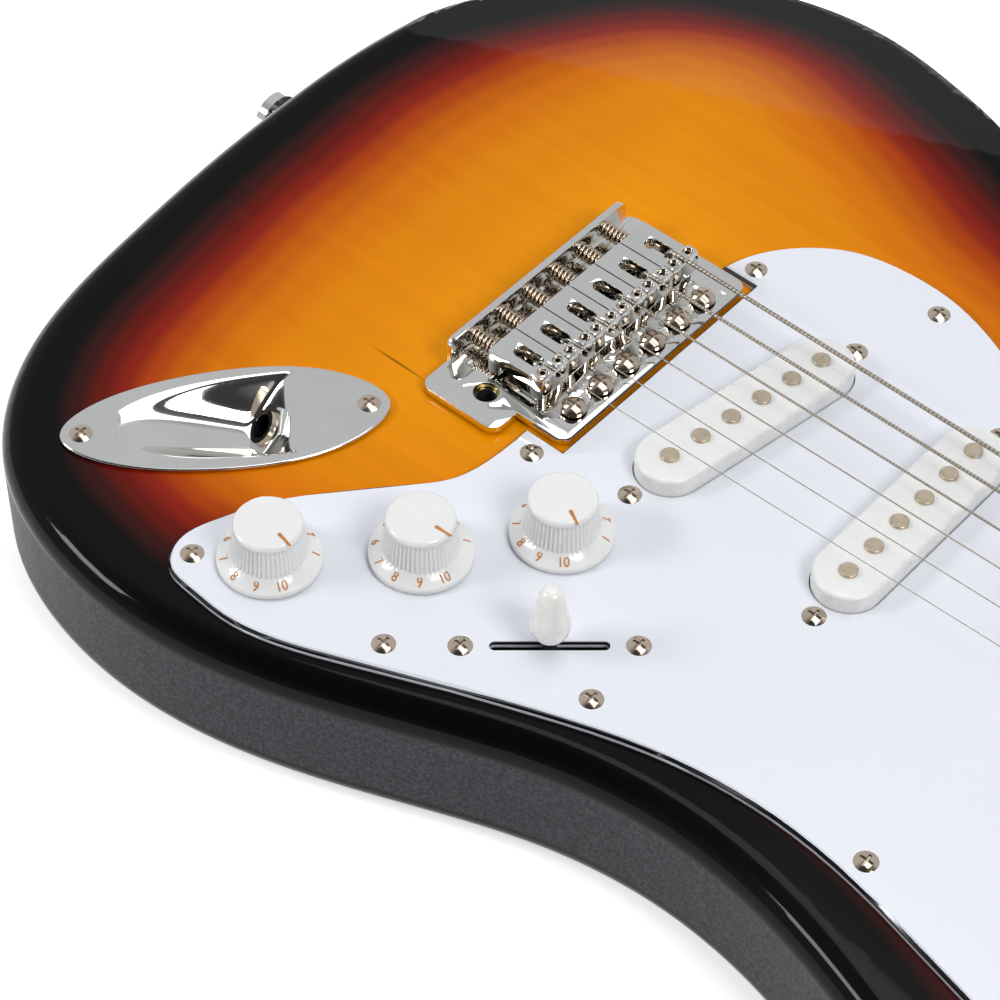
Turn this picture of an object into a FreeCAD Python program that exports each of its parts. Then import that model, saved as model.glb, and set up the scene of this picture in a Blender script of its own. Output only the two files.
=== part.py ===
import FreeCAD, Part
import math
import os
from FreeCAD import Matrix, Placement, Rotation, Vector

# Solid-body electric guitar lying on its back.
# While it is built, x runs from the scale end of the bridge to the headstock, y to the bass side,
# and z up from the top face of the body. The finished model is moved so that its origin is the
# centre of the bottom of its bounding box.

# --- scale, strings and frets -------------------------------------------------------------------
SCALE_LENGTH = 648.0
FRET_COUNT = 21
STRING_COUNT = 6
BRIDGE_STRING_PITCH = 10.49
NUT_STRING_PITCH = 7.1
STRING_SEAT_GAP = 0.1
STRING_BEND_RADIUS = 1.5
STRING_RADII = [0.58, 0.46, 0.33, 0.22, 0.165, 0.13]

# --- body -----------------------------------------------------------------------------------------
BODY_THICKNESS = 42.0
BODY_EDGE_RADIUS = 8.0
BODY_TAIL = (-130.0, 22.0)
HORN_TIP = (321.0, 116.0)
BODY_OUTLINE = [
    BODY_TAIL, (-128.5, -16.0), (-124.2, -54.8), (-114.6, -97.0), (-92.0, -128.5),
    (-59.1, -142.8), (-26.5, -144.9), (5.0, -139.0), (41.6, -125.4), (76.0, -112.5),
    (108.0, -107.5), (142.0, -111.0), (180.0, -122.5), (216.0, -131.0), (248.0, -129.0),
    (273.0, -116.0), (284.0, -99.0), (280.0, -84.0), (266.0, -77.0), (248.0, -70.0),
    (235.0, -57.0), (236.0, -42.0), (250.0, -33.0), (263.0, -22.0), (267.0, 4.0),
    (266.0, 30.0), (270.0, 47.0), (282.0, 65.0), (299.0, 84.0), (316.0, 101.0),
    HORN_TIP, (312.0, 131.0), (290.0, 143.0), (254.0, 153.0), (214.0, 154.0),
    (172.0, 143.0), (136.0, 128.0), (104.0, 121.0), (72.0, 124.0), (38.0, 137.0),
    (6.0, 151.0), (-30.0, 162.0), (-66.0, 158.0), (-98.0, 136.0), (-120.0, 92.0),
    (-128.0, 56.0),
]
FOREARM_CUT_DEPTH = 18.0
FOREARM_CUT_WIDTH = 70.0
FOREARM_CUT_START = (-40.0, 92.0)
FOREARM_CUT_TURN = 24.0

# --- pickguard --------------------------------------------------------------------------------------
PICKGUARD_THICKNESS = 2.3
PICKGUARD_GAP = 0.3
PICKGUARD_BEVEL = 0.9
BRIDGE_NOTCH_FRONT_GAP = 1.0
BRIDGE_NOTCH_SIDE_GAP = 1.7
PICKGUARD_TREBLE_EDGE = [
    (6.0, -38.2), (5.6, -52.2), (2.7, -63.4), (-4.4, -72.5), (-13.4, -82.9), (-24.8, -97.3),
    (-32.1, -112.7), (-34.2, -122.0), (-29.5, -130.6), (-21.1, -132.5), (-8.1, -133.0),
    (11.9, -128.0), (35.0, -117.9), (58.7, -108.1), (95.1, -95.7), (128.0, -92.0),
    (165.0, -97.0), (205.0, -106.0), (236.0, -103.0), (246.0, -92.0), (241.0, -82.0),
    (226.0, -72.0), (216.0, -56.0), (215.0, -42.0),
]
PICKGUARD_BASS_EDGE = [
    (226.0, 40.0), (229.0, 54.0), (245.0, 82.0), (241.0, 94.0), (228.0, 94.0),
    (205.0, 84.0), (170.0, 63.0), (136.0, 51.0), (105.0, 54.5), (79.3, 65.1), (61.4, 71.0),
    (44.3, 71.7), (29.9, 68.5), (18.6, 60.8), (10.1, 49.5), (7.2, 40.3),
]
PICKGUARD_SCREWS = [
    (-27.8, -124.2), (26.1, -114.0), (73.9, -93.8), (12.7, -44.1), (14.6, 45.1), (60.7, 63.9),
    (123.0, 45.0), (236.0, 86.0), (222.0, 44.0), (238.0, -94.0), (150.0, -88.0),
]

# --- screws ----------------------------------------------------------------------------------------
TRIM_HEAD_RADIUS = 3.05
TRIM_HEAD_DOME = 0.9
TRIM_SHANK_RADIUS = 1.4
TRIM_SCREW_LENGTH = 12.0
MACHINE_HEAD_RADIUS = 3.1
MACHINE_SHANK_RADIUS = 1.5
MACHINE_SCREW_LENGTH = 15.0
RECESS_WIDTH = 0.8
RECESS_DEPTH = 0.7

# --- neck ------------------------------------------------------------------------------------------
NECK_HEEL_X = 185.5
NECK_HEEL_LENGTH = 76.0
NECK_HEEL_WIDTH = 56.0
NECK_NUT_WIDTH = 42.0
NECK_POCKET_DEPTH = 15.9
NECK_POCKET_GAP = 0.15
NECK_POCKET_OVERRUN = 40.0
FRETBOARD_THICKNESS = 5.0
FRETBOARD_TOP = 9.6
FRETBOARD_RADIUS = 241.0
FRET_WIDTH = 2.3
FRET_HEIGHT = 1.1
DOT_RADIUS = 3.2
DOT_DEPTH = 1.2
DOT_FRETS = [3, 5, 7, 9, 15, 17, 19, 21]
OCTAVE_FRET = 12
OCTAVE_DOT_SPACING = 22.0
NECK_DEPTH_AT_NUT = 16.0
NECK_DEPTH_AT_HEEL = 18.5
NECK_SIDE_SHARES = (0.93, 0.4)
NECK_SHOULDER_SHARES = (0.62, 0.82)
NUT_THICKNESS = 3.5
NUT_SLOT_CLEARANCE = 0.45
NUT_SLOT_DEPTH = 0.7
TRUSS_ROD_RADIUS = 2.5
TRUSS_CHANNEL_WIDTH = 6.0
TRUSS_ROD_COVER = 0.5
TRUSS_END_GAP = 12.0
TRUSS_NUT_LENGTH = 9.0
NECK_PLATE_LENGTH = 64.0
NECK_PLATE_WIDTH = 51.0
NECK_PLATE_THICKNESS = 1.6
NECK_PLATE_CORNER_RADIUS = 6.0
NECK_PLATE_SETBACK = 3.0
NECK_SCREW_SPACING_X = 51.0
NECK_SCREW_SPACING_Y = 38.0
NECK_SCREW_RADIUS = 2.1
NECK_SCREW_LENGTH = 43.0
NECK_SCREW_HEAD_RADIUS = 4.0
NECK_SCREW_HEAD_DOME = 1.5

# --- headstock and tuners ---------------------------------------------------------------------------
HEADSTOCK_THICKNESS = 14.0
HEADSTOCK_TOP = 0.8
HEADSTOCK_BASS_EDGE = [(0.0, 21.0), (8.0, 25.0), (16.0, 33.0), (30.0, 38.5)]
HEADSTOCK_NOSE = 20.0
HEADSTOCK_TREBLE_EDGE = [
    (184.0, -27.0), (168.0, -38.0), (140.0, -45.0), (104.0, -42.0), (66.0, -31.0),
    (30.0, -22.5), (0.0, -21.0),
]
POST_PITCH_X = 25.0
POST_FIRST_X = 38.0
POST_RADIUS = 3.0
POST_CLEARANCE = 0.05
POST_RISE = 14.0
POST_HOLE_RADIUS = 1.0
WINDING_RADIUS = 3.9
WINDING_LENGTH = 3.2
WINDING_RISE = 6.0
BUSHING_RADIUS = 5.0
BUSHING_FLANGE_RADIUS = 6.2
BUSHING_FLANGE_THICKNESS = 1.4
BUSHING_LENGTH = 11.0
HOUSING_LENGTH = 16.5
HOUSING_WIDTH = 17.0
HOUSING_DEPTH = 10.0
HOUSING_WALL = 1.2
HOUSING_PLATE_THICKNESS = 1.2
HOUSING_PLATE_WIDTH = 10.0
HOUSING_PLATE_MARGIN = 1.8
HOUSING_SCREW_GAP = 0.5
HOUSING_SCREW_RADIUS = 1.1
HOUSING_SCREW_HEAD_RADIUS = 1.7
HOUSING_SCREW_HEAD_DOME = 0.8
HOUSING_SCREW_LENGTH = 9.0
GEAR_RADIUS = 3.6
GEAR_THICKNESS = 3.0
WORM_RADIUS = 1.5
WORM_MESH_GAP = 0.1
GEAR_ROOM_GAP = 0.3
BUTTON_SHAFT_RADIUS = 1.4
BUTTON_EDGE_GAP = 7.0
BUTTON_LENGTH = 12.5
BUTTON_WIDTH = 18.0
BUTTON_THICKNESS = 7.5
BUTTON_EDGE_RADIUS = 1.6
BUTTON_COLLAR_WALL = 1.2
TREE_RADIUS = 4.8
TREE_STEM_RADIUS = 2.2
TREE_STRINGS = [3, 5]
TREE_THICKNESS = 1.6
TREE_STRING_GAP = 0.4
TREE_DISTANCE = [62.0, 96.0]

# --- bridge ------------------------------------------------------------------------------------------
PLATE_TOP = 3.0
PLATE_THICKNESS = 2.0
PLATE_FRONT = 17.0
PLATE_REAR = -24.0
PLATE_BASS_Y = 38.5
PLATE_TREBLE_Y = -36.6
PLATE_WING_Y = -45.5
PLATE_WING_FRONT = 1.3
PLATE_CORNER_RADIUS = 3.5
FLANGE_THICKNESS = 1.8
FLANGE_TOP = 11.0
FLANGE_END_INSET = 1.6
PIVOT_X = 11.5
PIVOT_SCREW_RADIUS = 1.9
PIVOT_HOLE_RADIUS = 2.35
PIVOT_HEAD_RADIUS = 3.3
PIVOT_HEAD_GAP = 0.55
PIVOT_HEAD_HEIGHT = 1.9
PIVOT_SCREW_LENGTH = 24.0
ARM_HOLE_X = -9.2
ARM_HOLE_Y = -36.5
ARM_HOLE_RADIUS = 2.7
ARM_HOLE_DEPTH = 22.0
ARM_BOSS_RADIUS = 5.5
BLOCK_FRONT = 3.5
BLOCK_REAR = -12.5
BLOCK_HALF_WIDTH = 34.5
BLOCK_BOTTOM = -38.0
STRING_HOLE_X = -4.0
STRING_HOLE_RADIUS = 1.6
BALL_POCKET_RADIUS = 2.3
BALL_POCKET_TOP = -28.0
BALL_RADIUS = 2.0
BALL_LENGTH = 4.0
BLOCK_SCREW_X = 0.2
BLOCK_SCREW_RADIUS = 1.7
BLOCK_SCREW_HEAD_RADIUS = 3.0
BLOCK_SCREW_LENGTH = 14.0
BLOCK_SCREW_STRING_GAPS = [-2, 0, 2]
SADDLE_GAP = 0.35
SADDLE_TOP = 12.0
SADDLE_BOTTOM = 8.2
SADDLE_REAR = -13.0
SADDLE_FRONT = 5.2
SADDLE_FRONT_BOTTOM = 5.6
SADDLE_CROWN_RISE = 1.2
SADDLE_GROOVE_RADIUS = 1.1
SADDLE_GROOVE_DEPTH = 0.5
SADDLE_SLOT_REAR = -8.4
SADDLE_SLOT_FRONT = 0.6
SADDLE_SLOT_WIDTH = 4.2
SADDLE_REAR_WALL = 3.4
SADDLE_REAR_DROP = 2.6
SADDLE_FRONT_RADIUS = 1.2
HEIGHT_SCREW_X = 3.2
HEIGHT_SCREW_OFFSET = 3.0
HEIGHT_SCREW_RADIUS = 1.45
HEX_SOCKET_RADIUS = 0.85
INTONATION_SCREW_Z = 7.2
INTONATION_SCREW_RADIUS = 1.4
INTONATION_HEAD_RADIUS = 2.5
INTONATION_HEAD_LENGTH = 2.2
INTONATION_SPRING_RADIUS = 2.4

# --- vibrato springs in the back ---------------------------------------------------------------------
ROUTE_GAP = 4.0
ROUTE_SIDE_GAP = 1.0
ARM_BOSS_GAP = 2.0
SPRING_CAVITY_RADIUS = 6.0
SPRING_CAVITY_END = 108.0
SPRING_CAVITY_WIDTH = 58.0
SPRING_CAVITY_DEPTH = 18.0
SPRING_COUNT = 3
SPRING_PITCH = 18.0
SPRING_RADIUS = 3.9
SPRING_WIRE_RADIUS = 0.7
SPRING_Z = -33.5
SPRING_COIL_START = 12.0
SPRING_COIL_END = 84.0
CLAW_X = 98.0
CLAW_THICKNESS = 1.6
CLAW_HEIGHT = 11.0
CLAW_WIDTH = 54.0
CLAW_SCREW_RADIUS = 1.9
CLAW_SCREW_HEAD_RADIUS = 3.6
CLAW_SCREW_LENGTH = 42.0
CLAW_SCREW_OFFSET = 9.0
BACK_COVER_THICKNESS = 2.0
BACK_COVER_MARGIN = 9.0
BACK_COVER_CORNER_RADIUS = 7.0
BACK_COVER_HOLE_RADIUS = 4.2

# --- pickups -----------------------------------------------------------------------------------------
PICKUP_X = [46.3, 97.9, 160.0]
PICKUP_SLANT = [9.3, 0.0, 0.0]
POLE_PITCH = 10.4
POLE_RADIUS = 2.4
POLE_TOP = 8.35
COVER_LENGTH = 69.5
COVER_WIDTH = 18.2
COVER_WALL = 1.2
COVER_TOP = 7.6
COVER_BOTTOM = -8.0
COIL_GAP = 0.4
FLATWORK_THICKNESS = 2.4
FLATWORK_LENGTH = 86.0
PICKUP_SCREW_SPACING = 78.0
PICKUP_CAVITY_DEPTH = 19.0
PICKUP_CAVITY_GAP = 2.5
COVER_EDGE_RADIUS = 1.0
LEAD_CHANNEL_WIDTH = 10.0
CONTROL_CHANNEL_WIDTH = 28.0
PICKUP_SPRING_RADIUS = 2.6
LEAD_CHANNEL_Y = -29.0
LEAD_RADIUS = 0.7
LEAD_SPACING = 2.0
LEAD_DROP = 3.0
LEAD_BEND_RADIUS = 1.5
LEAD_TAG_PITCH = 6.0
CAPACITOR_RADIUS = 4.5
CAPACITOR_THICKNESS = 2.8
CAPACITOR_LEAD_RADIUS = 0.4

# --- controls ----------------------------------------------------------------------------------------
KNOB_PLACES = {"volume": (35.8, -59.7), "tone_1": (14.3, -87.4), "tone_2": (-12.2, -113.0)}
KNOB_GAP = 0.5
KNOB_HEIGHT = 13.6
KNOB_BASE_RADIUS = 13.1
KNOB_RIM_HEIGHT = 1.2
KNOB_CONE_RADIUS = 9.6
KNOB_CONE_BASE = 3.6
KNOB_TOP_RADIUS = 8.5
KNOB_CAVITY_RADIUS = 8.2
KNOB_CAVITY_HEIGHT = 4.4
SHAFT_RADIUS = 3.0
SHAFT_CLEARANCE = 0.05
POT_RADIUS = 12.0
POT_HEIGHT = 9.0
POT_LUG_WIDTH = 6.0
POT_LUG_THICKNESS = 1.0
POT_LUG_DROP = 1.2
POT_LUG_GAP = 0.5
POT_BUSHING_RADIUS = 4.7
POT_BUSHING_RISE = 3.0
NUT_ACROSS_FLATS = 12.7
CONTROL_NUT_THICKNESS = 2.1
CONTROL_CAVITY_DEPTH = 36.0
CONTROL_CAVITY_GAP = 1.8

SWITCH_CENTRE = (56.15, -88.15)
SWITCH_SCREW_A = (40.2, -102.3)
SWITCH_SCREW_B = (72.1, -74.0)
SWITCH_SLOT_LENGTH = 29.0
SWITCH_SLOT_WIDTH = 2.8
SWITCH_PIVOT_Z = -20.0
SWITCH_PIN_RADIUS = 1.5
SWITCH_PIN_CLEARANCE = 0.05
SWITCH_CHEEK_GAP = 1.6
SWITCH_CHEEK_THICKNESS = 1.6
SWITCH_DEPTH = 27.0
SWITCH_LENGTH = 34.0
SWITCH_FLANGE_THICKNESS = 1.2
SWITCH_FLANGE_WIDTH = 11.0
SWITCH_FLANGE_MARGIN = 4.5
SWITCH_ROOM_GAP = 1.5
LEVER_THICKNESS = 1.0
LEVER_WIDTH = 3.6
LEVER_DISC_RADIUS = 5.0
TIP_BASE_Z = 2.9
TIP_SHANK_LENGTH = 5.0
TIP_SHANK_WIDTH = 2.1
TIP_FLARE_Z = 6.4
TIP_WIDEST_Z = 11.6
TIP_WIDEST_RADIUS = 4.9
TIP_SHOULDER_Z = 22.0
TIP_SHOULDER_RADIUS = 2.6
TIP_TOP_Z = 24.6

# --- output jack ------------------------------------------------------------------------------------
JACK_SCREW_A = (-77.3, -114.1)
JACK_SCREW_B = (-29.9, -58.1)
JACK_PLATE_THICKNESS = 1.3
JACK_PLATE_PROFILE = [
    (-5.4, 0.0), (-2.0, 6.0), (6.6, 11.2), (20.0, 15.2), (36.7, 17.2), (54.0, 16.2), (68.0, 11.9),
    (75.6, 6.4), (78.9, 0.0),
]
CUP_TIP = 8.0
CUP_END = 53.5
CUP_HALF_ANGLE = 18.2
CUP_WALL = 1.2
JACK_TILT = 40.0
JACK_WALL_DISTANCE = 7.4
JACK_BUSHING_RADIUS = 4.7
JACK_BORE_RADIUS = 3.3
JACK_BUSHING_RISE = 4.2
JACK_BODY_LENGTH = 18.0
JACK_BODY_RADIUS = 7.5
JACK_CAVITY_GAP = 0.8
JACK_ROOM_GAP = 2.5
JACK_ROOM_REACH = 8.0
JACK_LEAD_DEPTH = 16.0
JACK_LEAD_BORE_RADIUS = 4.0
JACK_WASHER_THICKNESS = 0.6
JACK_WASHER_MARGIN = 0.9
JACK_SHOULDER = 2.0

# --- strap buttons ----------------------------------------------------------------------------------
STRAP_BUTTON_RADIUS = 7.0
STRAP_BUTTON_NECK = 4.2
STRAP_BUTTON_LENGTH = 12.0
STRAP_BUTTON_FOOT = 2.5
STRAP_BUTTON_HEAD = 3.0
STRAP_BUTTON_SINK = 2.0
STRAP_SEAT_GAP = 0.2
STRAP_SCREW_HEAD_RADIUS = 3.5
STRAP_SCREW_HEAD_DOME = 1.6
STRAP_SCREW_RADIUS = 2.0
STRAP_SCREW_LENGTH = 24.0

X_AXIS = Vector(1, 0, 0)
Y_AXIS = Vector(0, 1, 0)
Z_AXIS = Vector(0, 0, 1)

FRETBOARD_BOTTOM = FRETBOARD_TOP - FRETBOARD_THICKNESS
BODY_BOTTOM = -BODY_THICKNESS
PLATE_BOTTOM = PLATE_TOP - PLATE_THICKNESS
NUT_SLOT_FLOOR = FRETBOARD_TOP + FRET_HEIGHT + NUT_SLOT_CLEARANCE
NUT_TOP = NUT_SLOT_FLOOR + NUT_SLOT_DEPTH
HEADSTOCK_BOTTOM = HEADSTOCK_TOP - HEADSTOCK_THICKNESS
WINDING_Z = HEADSTOCK_TOP + BUSHING_FLANGE_THICKNESS + WINDING_RISE


# --- small helpers ----------------------------------------------------------------------------------
def box(x0, x1, y0, y1, z0, z1):
    return Part.makeBox(x1 - x0, y1 - y0, z1 - z0, Vector(x0, y0, z0))


def rod(start, end, radius):
    """A round bar from one point to another."""
    path = end - start
    return Part.makeCylinder(radius, path.Length, start, path)


def bent_rod(points, radius, bend_radius):
    """A round wire along straight runs joined by tangent arcs."""
    edges = []
    start = points[0]
    for before, corner, after in zip(points[:-2], points[1:-1], points[2:]):
        arrive = (corner - before).normalize()
        leave = (after - corner).normalize()
        half_turn = arrive.getAngle(leave) / 2
        inset = bend_radius * math.tan(half_turn)
        inward = (leave - arrive).normalize()
        crest = corner + inward * (bend_radius / math.cos(half_turn) - bend_radius)
        edges.append(Part.LineSegment(start, corner - arrive * inset).toShape())
        start = corner + leave * inset
        edges.append(Part.Arc(corner - arrive * inset, crest, start).toShape())
    edges.append(Part.LineSegment(start, points[-1]).toShape())
    circle = Part.Circle(points[0], points[1] - points[0], radius).toShape()
    return Part.Wire(edges).makePipeShell([Part.Wire([circle])], True, False)


def post(x, y, z0, z1, radius):
    """An upright round bar."""
    return Part.makeCylinder(radius, z1 - z0, Vector(x, y, z0), Z_AXIS)


def slab(wire, z0, z1):
    """A flat plate from a closed wire drawn at z = 0."""
    plate = Part.Face(wire).extrude(Vector(0, 0, z1 - z0))
    plate.translate(Vector(0, 0, z0))
    return plate


def spline(points, closed=False):
    curve = Part.BSplineCurve()
    curve.interpolate([Vector(x, y, 0) for x, y in points], PeriodicFlag=closed)
    return curve.toShape()


def line(a, b):
    return Part.LineSegment(Vector(a[0], a[1], 0), Vector(b[0], b[1], 0)).toShape()


def polygon(points):
    return Part.makePolygon([Vector(x, y, 0) for x, y in points + points[:1]])


def obround(length, width):
    """A closed slot outline about the origin, its length along y."""
    radius = width / 2
    half = length / 2 - radius
    right = Part.LineSegment(Vector(radius, -half, 0), Vector(radius, half, 0))
    left = Part.LineSegment(Vector(-radius, half, 0), Vector(-radius, -half, 0))
    top = Part.Arc(Vector(radius, half, 0), Vector(0, half + radius, 0), Vector(-radius, half, 0))
    low = Part.Arc(Vector(-radius, -half, 0), Vector(0, -half - radius, 0), Vector(radius, -half, 0))
    return Part.Wire([right.toShape(), top.toShape(), left.toShape(), low.toShape()])


def rounded_plate(x0, x1, y0, y1, z0, z1, radius):
    plate = box(x0, x1, y0, y1, z0, z1)
    upright = [edge for edge in plate.Edges if edge.BoundBox.ZLength > (z1 - z0) / 2]
    return plate.makeFillet(radius, upright)


def fuse(shapes):
    first = shapes[0]
    if len(shapes) == 1:
        return first
    return first.multiFuse(shapes[1:]).removeSplitter()


def cut(shape, tools):
    return shape.cut(Part.makeCompound(tools))


def group(shapes):
    return Part.makeCompound(shapes)


def placed(shape, x, y, z=0.0, turn=0.0):
    """A copy turned about z and moved."""
    copy = shape.copy()
    copy.Placement = Placement(Vector(x, y, z), Rotation(Z_AXIS, turn)).multiply(copy.Placement)
    return copy


def each_string(pitch):
    """Sideways places of the strings, from bass to treble."""
    middle = (STRING_COUNT - 1) / 2
    return [(middle - index) * pitch for index in range(STRING_COUNT)]


def cross_recess(radius, z_top):
    """The cross-shaped driver recess in a screw head about the z axis."""
    reach = radius * 0.6
    low = z_top - RECESS_DEPTH
    first = box(-reach, reach, -RECESS_WIDTH / 2, RECESS_WIDTH / 2, low, z_top + 1)
    second = box(-RECESS_WIDTH / 2, RECESS_WIDTH / 2, -reach, reach, low, z_top + 1)
    return first.fuse(second)


def dome(radius, height, z0):
    """A low round cap standing on z0."""
    ball_radius = (radius * radius + height * height) / (2 * height)
    ball = Part.makeSphere(ball_radius, Vector(0, 0, z0 + height - ball_radius))
    return ball.common(post(0, 0, z0, z0 + height + 1, radius))


def oval_screw(head_radius, head_dome, shank_radius, length):
    """A domed cross-head screw whose seat is z = 0 and whose shank points down."""
    head = dome(head_radius, head_dome, 0).cut(cross_recess(head_radius, head_dome))
    return head.fuse(post(0, 0, -length, 0, shank_radius)).removeSplitter()


def pan_screw(head_radius, head_height, shank_radius, length):
    """A tall round-headed screw whose seat is z = 0 and whose shank points down."""
    wall = head_height * 0.45
    head = post(0, 0, 0, wall, head_radius).fuse(dome(head_radius, head_height - wall, wall))
    head = head.cut(cross_recess(head_radius, head_height))
    return head.fuse(post(0, 0, -length, 0, shank_radius)).removeSplitter()


def aimed(shape, position, direction):
    """A copy of a piece built along z, moved to a point and aimed along a direction."""
    copy = shape.copy()
    turn = Placement(position, Rotation(Z_AXIS, direction))
    copy.Placement = turn.multiply(copy.Placement)
    return copy


def ring(outer, inner, z0, z1):
    return post(0, 0, z0, z1, outer).cut(post(0, 0, z0 - 1, z1 + 1, inner))


def hexagon_nut(bore, thickness):
    corner = NUT_ACROSS_FLATS / math.sqrt(3)
    points = [(corner * math.cos(math.radians(60 * k)), corner * math.sin(math.radians(60 * k)))
              for k in range(6)]
    return slab(polygon(points), 0, thickness).cut(post(0, 0, -1, thickness + 1, bore))


# --- shared places ----------------------------------------------------------------------------------
def trim_screw_places():
    """Seats of the screws that hold the pickguard, the jack plate and the back cover."""
    up = [(x, y, PICKGUARD_THICKNESS, 1) for x, y in PICKGUARD_SCREWS]
    up += [(x, y, JACK_PLATE_THICKNESS, 1) for x, y in (JACK_SCREW_A, JACK_SCREW_B)]
    down = [(x, y, BODY_BOTTOM - BACK_COVER_THICKNESS, -1) for x, y in back_cover_screws()]
    return up + down


def back_cover_box():
    x0 = route_rear() - BACK_COVER_MARGIN
    x1 = SPRING_CAVITY_END + BACK_COVER_MARGIN
    half = SPRING_CAVITY_WIDTH / 2 + BACK_COVER_MARGIN
    return x0, x1, half


def back_cover_screws():
    x0, x1, half = back_cover_box()
    inset = BACK_COVER_MARGIN / 2
    middle = (x0 + x1) / 2
    return [(x, side * (half - inset)) for x in (x0 + inset, middle, x1 - inset) for side in (-1, 1)]


def route_rear():
    return BLOCK_REAR - 2 * ROUTE_GAP


def route_front():
    return BLOCK_FRONT + ROUTE_GAP


def neck_screw_places():
    centre = neck_plate_centre()
    return [(centre + a * NECK_SCREW_SPACING_X / 2, b * NECK_SCREW_SPACING_Y / 2)
            for a in (-1, 1) for b in (-1, 1)]


def neck_plate_centre():
    return NECK_HEEL_X + NECK_HEEL_LENGTH / 2 - NECK_PLATE_SETBACK


def fret_x(number):
    return SCALE_LENGTH * 2 ** (-number / 12)


def neck_half_width(x):
    """Half width of the neck, tapering from the heel to the nut."""
    share = (x - NECK_HEEL_X) / (SCALE_LENGTH - NECK_HEEL_X)
    return (NECK_HEEL_WIDTH + (NECK_NUT_WIDTH - NECK_HEEL_WIDTH) * share) / 2


def jack_point(along, across, z):
    """A point in the jack plate's own directions, from its tail-side screw."""
    a = Vector(JACK_SCREW_A[0], JACK_SCREW_A[1], 0)
    b = Vector(JACK_SCREW_B[0], JACK_SCREW_B[1], 0)
    u = (b - a).normalize()
    return a + u * along + Vector(-u.y, u.x, 0) * across + Vector(0, 0, z)


def jack_direction():
    """The way the output jack faces: to the tail and up."""
    tilt = math.radians(JACK_TILT)
    return (jack_point(-math.cos(tilt), 0, math.sin(tilt)) - jack_point(0, 0, 0)).normalize()


def jack_seat():
    """The middle of the jack on the inner side of the cup's end wall."""
    tilt = math.radians(JACK_TILT)
    return jack_point(CUP_END - JACK_WALL_DISTANCE * math.sin(tilt), 0,
                      -JACK_WALL_DISTANCE * math.cos(tilt))


def switch_direction():
    a = Vector(SWITCH_SCREW_A[0], SWITCH_SCREW_A[1], 0)
    b = Vector(SWITCH_SCREW_B[0], SWITCH_SCREW_B[1], 0)
    return (b - a).normalize()


def switch_turn():
    way = switch_direction()
    return math.degrees(math.atan2(way.y, way.x))


def switch_screw_distance():
    return math.dist(SWITCH_SCREW_A, SWITCH_SCREW_B)


def pickup_places():
    return list(zip(PICKUP_X, PICKUP_SLANT))


def pickup_screw_seats():
    seats = []
    for x, slant in pickup_places():
        angle = math.radians(slant)
        half = PICKUP_SCREW_SPACING / 2
        for side in (-1, 1):
            seats.append((x + side * half * math.sin(angle), side * half * math.cos(angle)))
    return seats


def post_places():
    """Tuner posts from bass to treble, each touched by its straight string."""
    places = []
    for index, y in enumerate(each_string(NUT_STRING_PITCH)):
        places.append((SCALE_LENGTH + POST_FIRST_X + index * POST_PITCH_X, y + WINDING_RADIUS))
    return places


def post_line_turn():
    """Direction of the row of posts, in degrees from x."""
    first, last = post_places()[0], post_places()[-1]
    return math.degrees(math.atan2(last[1] - first[1], last[0] - first[0]))


def tuner_placement(index):
    """Tuner frame: x along the row of posts, y outward past the edge, z = 0 at the headstock's back."""
    x, y = post_places()[index]
    return Placement(Vector(x, y, HEADSTOCK_BOTTOM), Rotation(Z_AXIS, post_line_turn()))


def worm_offset():
    return GEAR_RADIUS + WORM_RADIUS + WORM_MESH_GAP


def housing_reach():
    """From the post's axis to the outside of the housing on the worm's side."""
    return worm_offset() + WORM_RADIUS + GEAR_ROOM_GAP + HOUSING_WALL


def housing_screw_offset():
    return housing_reach() + HOUSING_SCREW_GAP + HOUSING_SCREW_HEAD_RADIUS


def in_tuner_frame(shape, index):
    copy = shape.copy()
    copy.Placement = tuner_placement(index).multiply(copy.Placement)
    return copy


# --- body -----------------------------------------------------------------------------------------
def body_blank():
    blank = slab(Part.Wire([spline(BODY_OUTLINE, closed=True)]), BODY_BOTTOM, 0)
    rims = [edge for edge in blank.Edges if edge.BoundBox.ZLength < 0.01]
    return blank.makeFillet(BODY_EDGE_RADIUS, rims)


def forearm_contour():
    """A long slanted cut where the player's arm rests, on the bass side of the tail."""
    angle = math.degrees(math.atan2(FOREARM_CUT_DEPTH, FOREARM_CUT_WIDTH))
    wedge = box(-200, 200, 0, 200, 0, 100)
    wedge.rotate(Vector(0, 0, 0), X_AXIS, -angle)
    wedge.rotate(Vector(0, 0, 0), Z_AXIS, FOREARM_CUT_TURN)
    wedge.translate(Vector(*FOREARM_CUT_START))
    return wedge


def pickup_outline_cut(length, width, z0, z1, x, slant):
    return placed(slab(obround(length, width), z0, z1), x, 0, 0, -slant)


def bar_between(a, b, width, z0, z1):
    """An upright slab of the given width from one plan point to another."""
    path = Vector(b[0] - a[0], b[1] - a[1], 0)
    bar = box(0, path.Length, -width / 2, width / 2, z0, z1)
    return placed(bar, a[0], a[1], 0, math.degrees(math.atan2(path.y, path.x)))


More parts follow.
